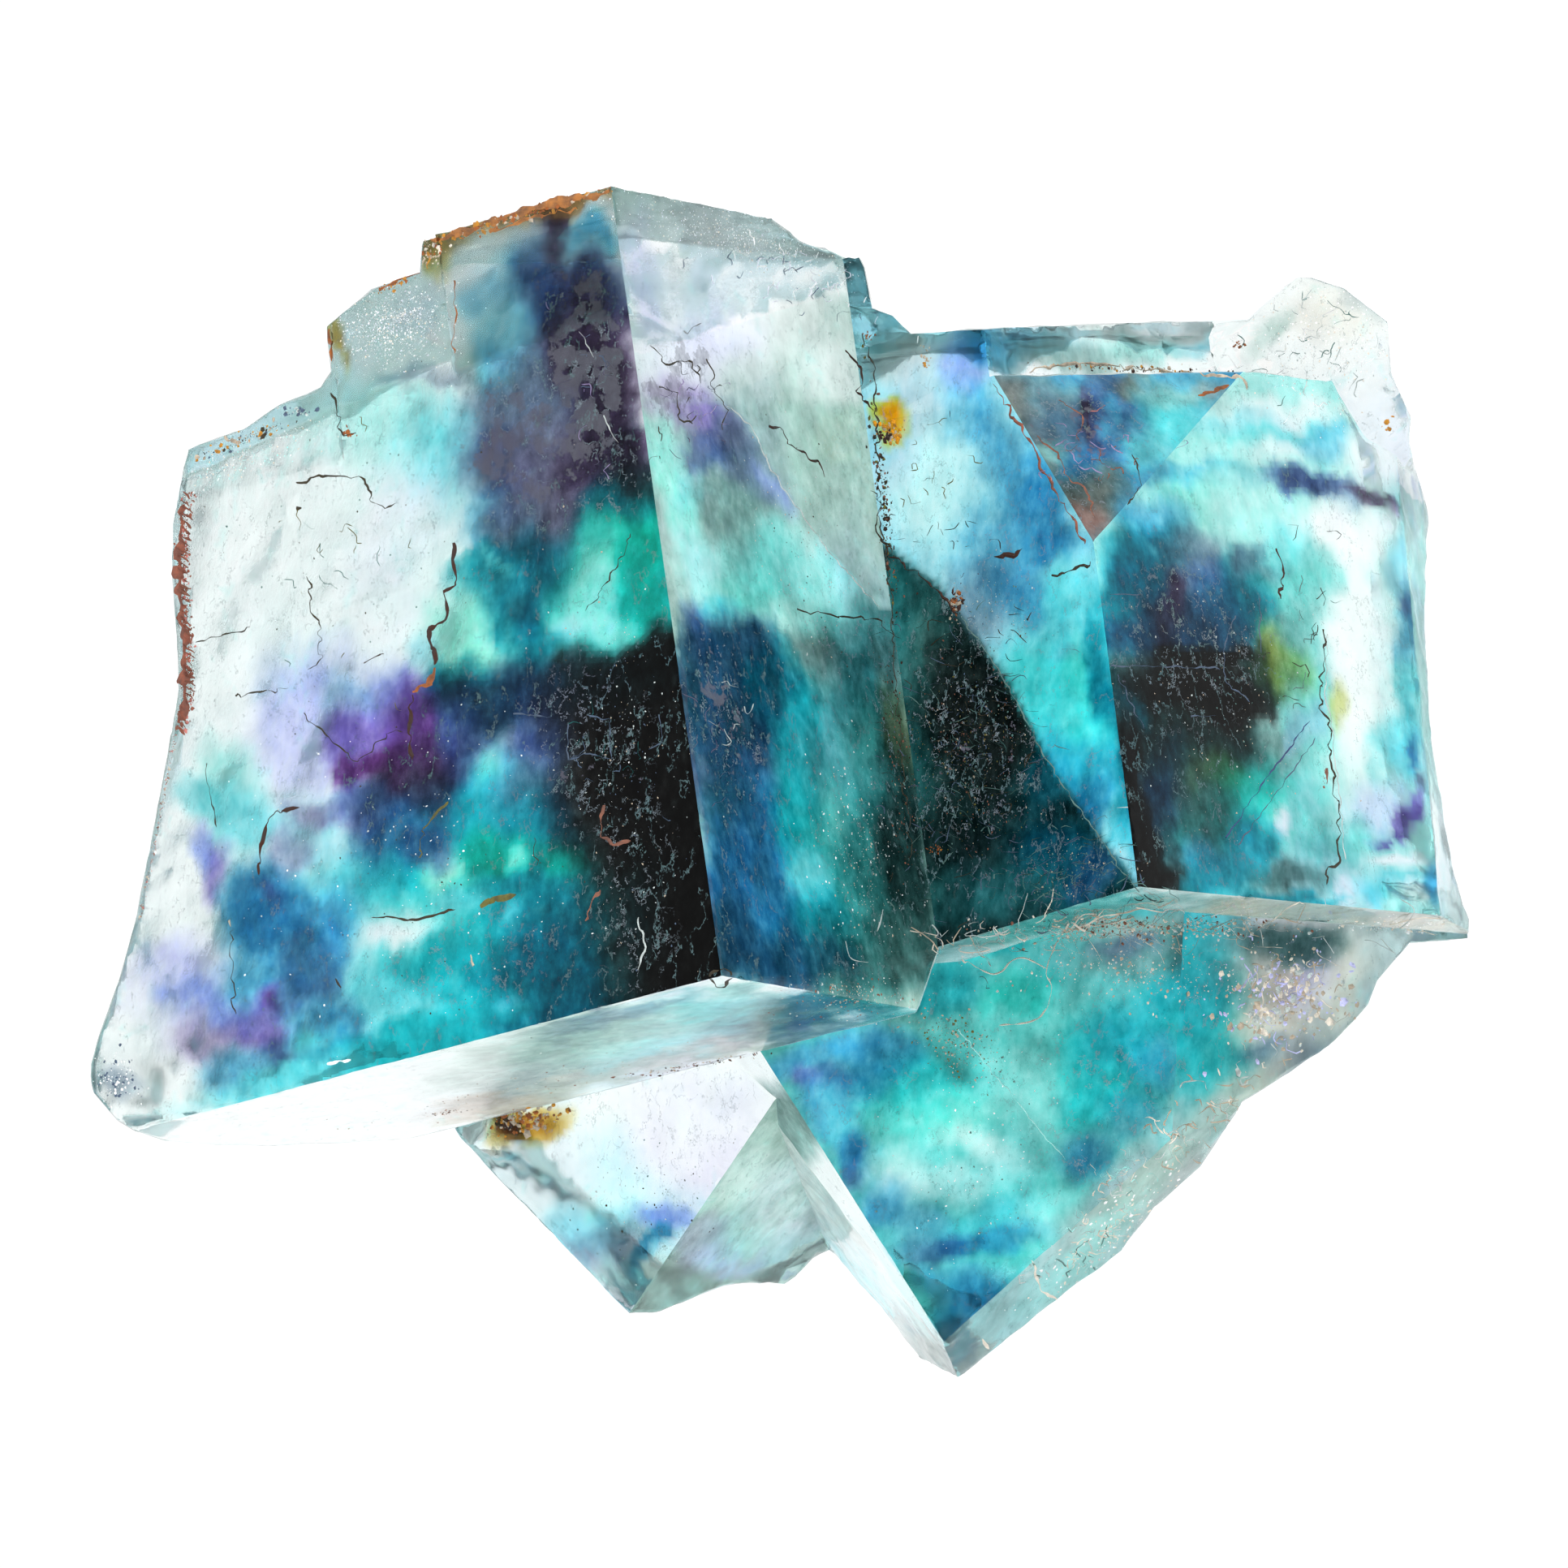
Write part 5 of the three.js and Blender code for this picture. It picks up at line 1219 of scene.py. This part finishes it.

# %% [markdown]
# ## Dust, highlight flakes and lint
# House dust lies in the ledges as pale flakes, with short clothing fibres caught among them and one
# long one curling over the lower crystal. Dense fine white flakes on the top ledges and the top of the
# large crystal's right face are partly dust and partly a painted highlight.

# %% Scatter the dust and the highlight flakes
DUST_AND_HIGHLIGHT = [  # as the crusts
    ((4.6, 0.8), (1.9, 2.8), 0, 900, (0.02, 0.08), ("moss stain", "clay", "slate", "sage", "sand")),
    ((5.2, 4.4), (1.3, 1.4), 0, 200, (0.02, 0.07), ("sage", "slate", "mist")),
    ((7.0, -2.0), (1.4, 0.9), 0, 260, (0.02, 0.08), ("sage", "slate", "sand")),
    ((1.9, -1.6), (1.2, 3.0), 8, 420, (0.02, 0.09), ("sand", "mist", "white")),
    ((1.6, -5.2), (1.8, 0.6), 0, 420, (0.02, 0.10), ("sand", "mist", "clay")),
    ((8.8, -3.5), (4.6, 0.35), 1, 700, (0.03, 0.13), ("sand", "cream", "clay", "mist")),
    ((8.8, -4.6), (3.6, 0.9), 0, 460, (0.02, 0.10), ("sand", "mist", "cream")),
    ((15.2, -3.4), (1.4, 0.2), 0, 120, (0.03, 0.13), ("cream", "white")),
    ((4.4, -6.4), (1.4, 0.8), -30, 420, (0.02, 0.09), ("moss stain", "sand", "sage")),
    ((-9.0, -2.0), (5.5, 4.6), 0, 420, (0.02, 0.07), ("mist", "white", "bark")),
    ((-3.8, 1.0), (1.6, 5.0), 8, 260, (0.02, 0.07), ("slate", "mist", "sand")),
    ((-10.6, 5.8), (4.0, 4.0), 0, 160, (0.02, 0.07), ("sage", "bark")),
    ((-16.4, -7.2), (0.8, 0.6), -20, 160, (0.03, 0.12), ("white", "slate")),
    ((-6.0, -7.3), (5.0, 0.4), 14, 260, (0.02, 0.08), ("sand", "mist", "clay")),
    ((0.4, 6.0), (1.4, 4.0), 8, 260, (0.02, 0.07), ("bark", "mist", "sand")),
    ((11.0, 2.0), (2.6, 4.2), 0, 320, (0.02, 0.07), ("mist", "sand", "sage")),
    ((12.6, -5.2), (2.0, 1.4), 0, 300, (0.04, 0.20), ("sand", "cream", "lilac")),
    ((8.2, -11.0), (3.0, 0.7), 42, 420, (0.03, 0.14), ("cream", "white", "mist")),
    ((5.0, -9.0), (2.6, 3.0), 0, 260, (0.02, 0.07), ("white", "mist", "sage")),
    ((-3.0, -10.2), (2.6, 2.0), 0, 200, (0.02, 0.08), ("sage", "mist", "bark")),
    # dense fine white flakes: partly dust, and partly a painted highlight on the top ledges and the top of
    # the large crystal's right face
    ((-9.5, 11.3), (1.5, 1.1), 15, 1500, (0.015, 0.06), ("white", "white", "lavender", "cream")),
    ((-13.0, 8.1), (2.4, 0.5), 20, 600, (0.015, 0.06), ("white", "aqua", "cream")),
    ((-1.0, 13.4), (3.2, 0.7), -16, 1500, (0.015, 0.06), ("white", "white", "lavender", "cream")),
    ((13.5, 11.0), (2.0, 1.9), 0, 1200, (0.015, 0.07), ("white", "white", "cream", "mist")),
]
join("dust_and_highlight_flakes", scatter(grains, DUST_AND_HIGHLIGHT), "dust_and_highlight_flake", 0.2, 0.1, (0.8, 1.0), 0.3)

# %% Curl the lint
def curl(points, pieces=8):
    """A smooth curve through a few points."""
    points = [points[0], *points, points[-1]]
    path = []
    for before, start, end, after in zip(points, points[1:], points[2:], points[3:]):
        for t in np.linspace(0, 1, pieces, endpoint=False):
            weights = (-0.5 * t + t * t - 0.5 * t**3, 1 - 2.5 * t * t + 1.5 * t**3,
                       0.5 * t + 2 * t * t - 1.5 * t**3, -0.5 * t * t + 0.5 * t**3)
            path.append(sum(w * np.array(p) for w, p in zip(weights, (before, start, end, after))))
    return path


FIBRE = 0.045  # mm
LONG_FIBRES = [
    [(7.1, -3.3), (6.5, -4.4), (6.6, -5.0), (6.3, -5.7), (5.3, -5.9)],
    [(7.1, -3.3), (7.7, -3.4), (8.8, -3.2)],
    [(4.4, -4.2), (5.2, -4.6), (5.8, -4.2), (6.6, -4.5)],
]
NESTS = [  # middle, reach, how many, bend, colours
    ((4.4, 0.8), (1.0, 1.9), 230, 0.13, ("moss", "sage", "slate", "bark")),
    ((6.8, -2.2), (1.0, 0.6), 110, 0.14, ("sage", "slate", "moss")),
    ((8.5, -3.5), (3.0, 0.2), 110, 0.26, ("cream", "sand", "mist")),
]
lint = [ridge(curl(line), FIBRE, "cream", wander=0.02, rise=0.9, lift=0.25) for line in LONG_FIBRES]
for middle, reach, count, size, tones in NESTS:
    for _ in range(count):
        start = chance.normal(middle, reach)
        bend = chance.normal(0, size, (2, 2)) + (size, 0.0)
        path = curl([start, start + bend[0], start + bend[0] + bend[1]])
        lint.append(ridge(path, FIBRE * 0.5, pick(tones), wander=0.01, rise=0.9, lift=0.08))
join("lint_fibres", lint, "lint", 0.15, 0.5, (0.85, 1.0), 0.1)

# %% [markdown]
# ## Floor, light and camera
# Mineral dealers light clear crystals from below and behind, so the colour zones glow. A pale floor
# that gives off a little light of its own does that here, and the studio around it glows too, most
# from the upper left, for the shine on the faces.

# %% Stage
SIDE = 3.0
NEAR, FAR = 8 * MM, 50 * MM  # the floor's glow fades between these distances
SOFTBOX = direction(130, 55)  # the way to the middle of the light, up and to the left
DIM, BRIGHT = 1.0, 1.5

floor_mesh = bpy.data.meshes.new("floor")
corners = [(-SIDE, -SIDE, 0), (SIDE, -SIDE, 0), (SIDE, SIDE, 0), (-SIDE, SIDE, 0)]
floor_mesh.from_pydata(corners, [], [(0, 1, 2, 3)])
floor = add("floor", floor_mesh)
floor.location.z = -0.01 * MM
paper, tree = material("paper")
away = node(tree, "ShaderNodeVectorMath", {0: place_of(tree)}, operation="LENGTH")
sheet = node(tree, "ShaderNodeBsdfPrincipled", {
    "Base Color": (0.05, 0.051, 0.052, 1), "Roughness": 0.9, "Emission Color": (1.0, 1.0, 1.0, 1),
    "Emission Strength": ramp(tree, away.outputs["Value"], NEAR, FAR, 1.08, 0.80),
})
paper.cycles.emission_sampling = "NONE"
node(tree, "ShaderNodeOutputMaterial", {"Surface": sheet.outputs[0]})
floor_mesh.materials.append(paper)

world = bpy.data.worlds.new("studio")
bpy.context.scene.world = world
world.use_nodes = True
tree = world.node_tree
tree.nodes.clear()
towards = {0: place_of(tree, "Generated"), 1: tuple(SOFTBOX)}
facing = node(tree, "ShaderNodeVectorMath", towards, operation="DOT_PRODUCT")
dome = node(tree, "ShaderNodeBackground", {
    "Color": (0.98, 0.99, 1.0, 1), "Strength": ramp(tree, facing.outputs["Value"], 0.1, 1.0, DIM, BRIGHT),
})
node(tree, "ShaderNodeOutputWorld", {"Surface": dome.outputs[0]})
world.cycles.sampling_method = "NONE"
bpy.context.scene.cycles.max_bounces = 10

# %% Camera
FRAME_WIDTH = 38.64  # mm of the world across the picture, at a height midway up the cluster
MIDWAY = 8 * MM
DISTANCE = 1.0
AIM = (0.0535 * MM, 0.015 * MM)
camera_data = bpy.data.cameras.new("camera")
camera = add("camera", camera_data)
camera.location = (*AIM, DISTANCE + MIDWAY)
camera_data.lens = camera_data.sensor_width * DISTANCE / (FRAME_WIDTH * MM)
bpy.context.scene.camera = camera
bpy.context.scene.view_settings.view_transform = "Standard"
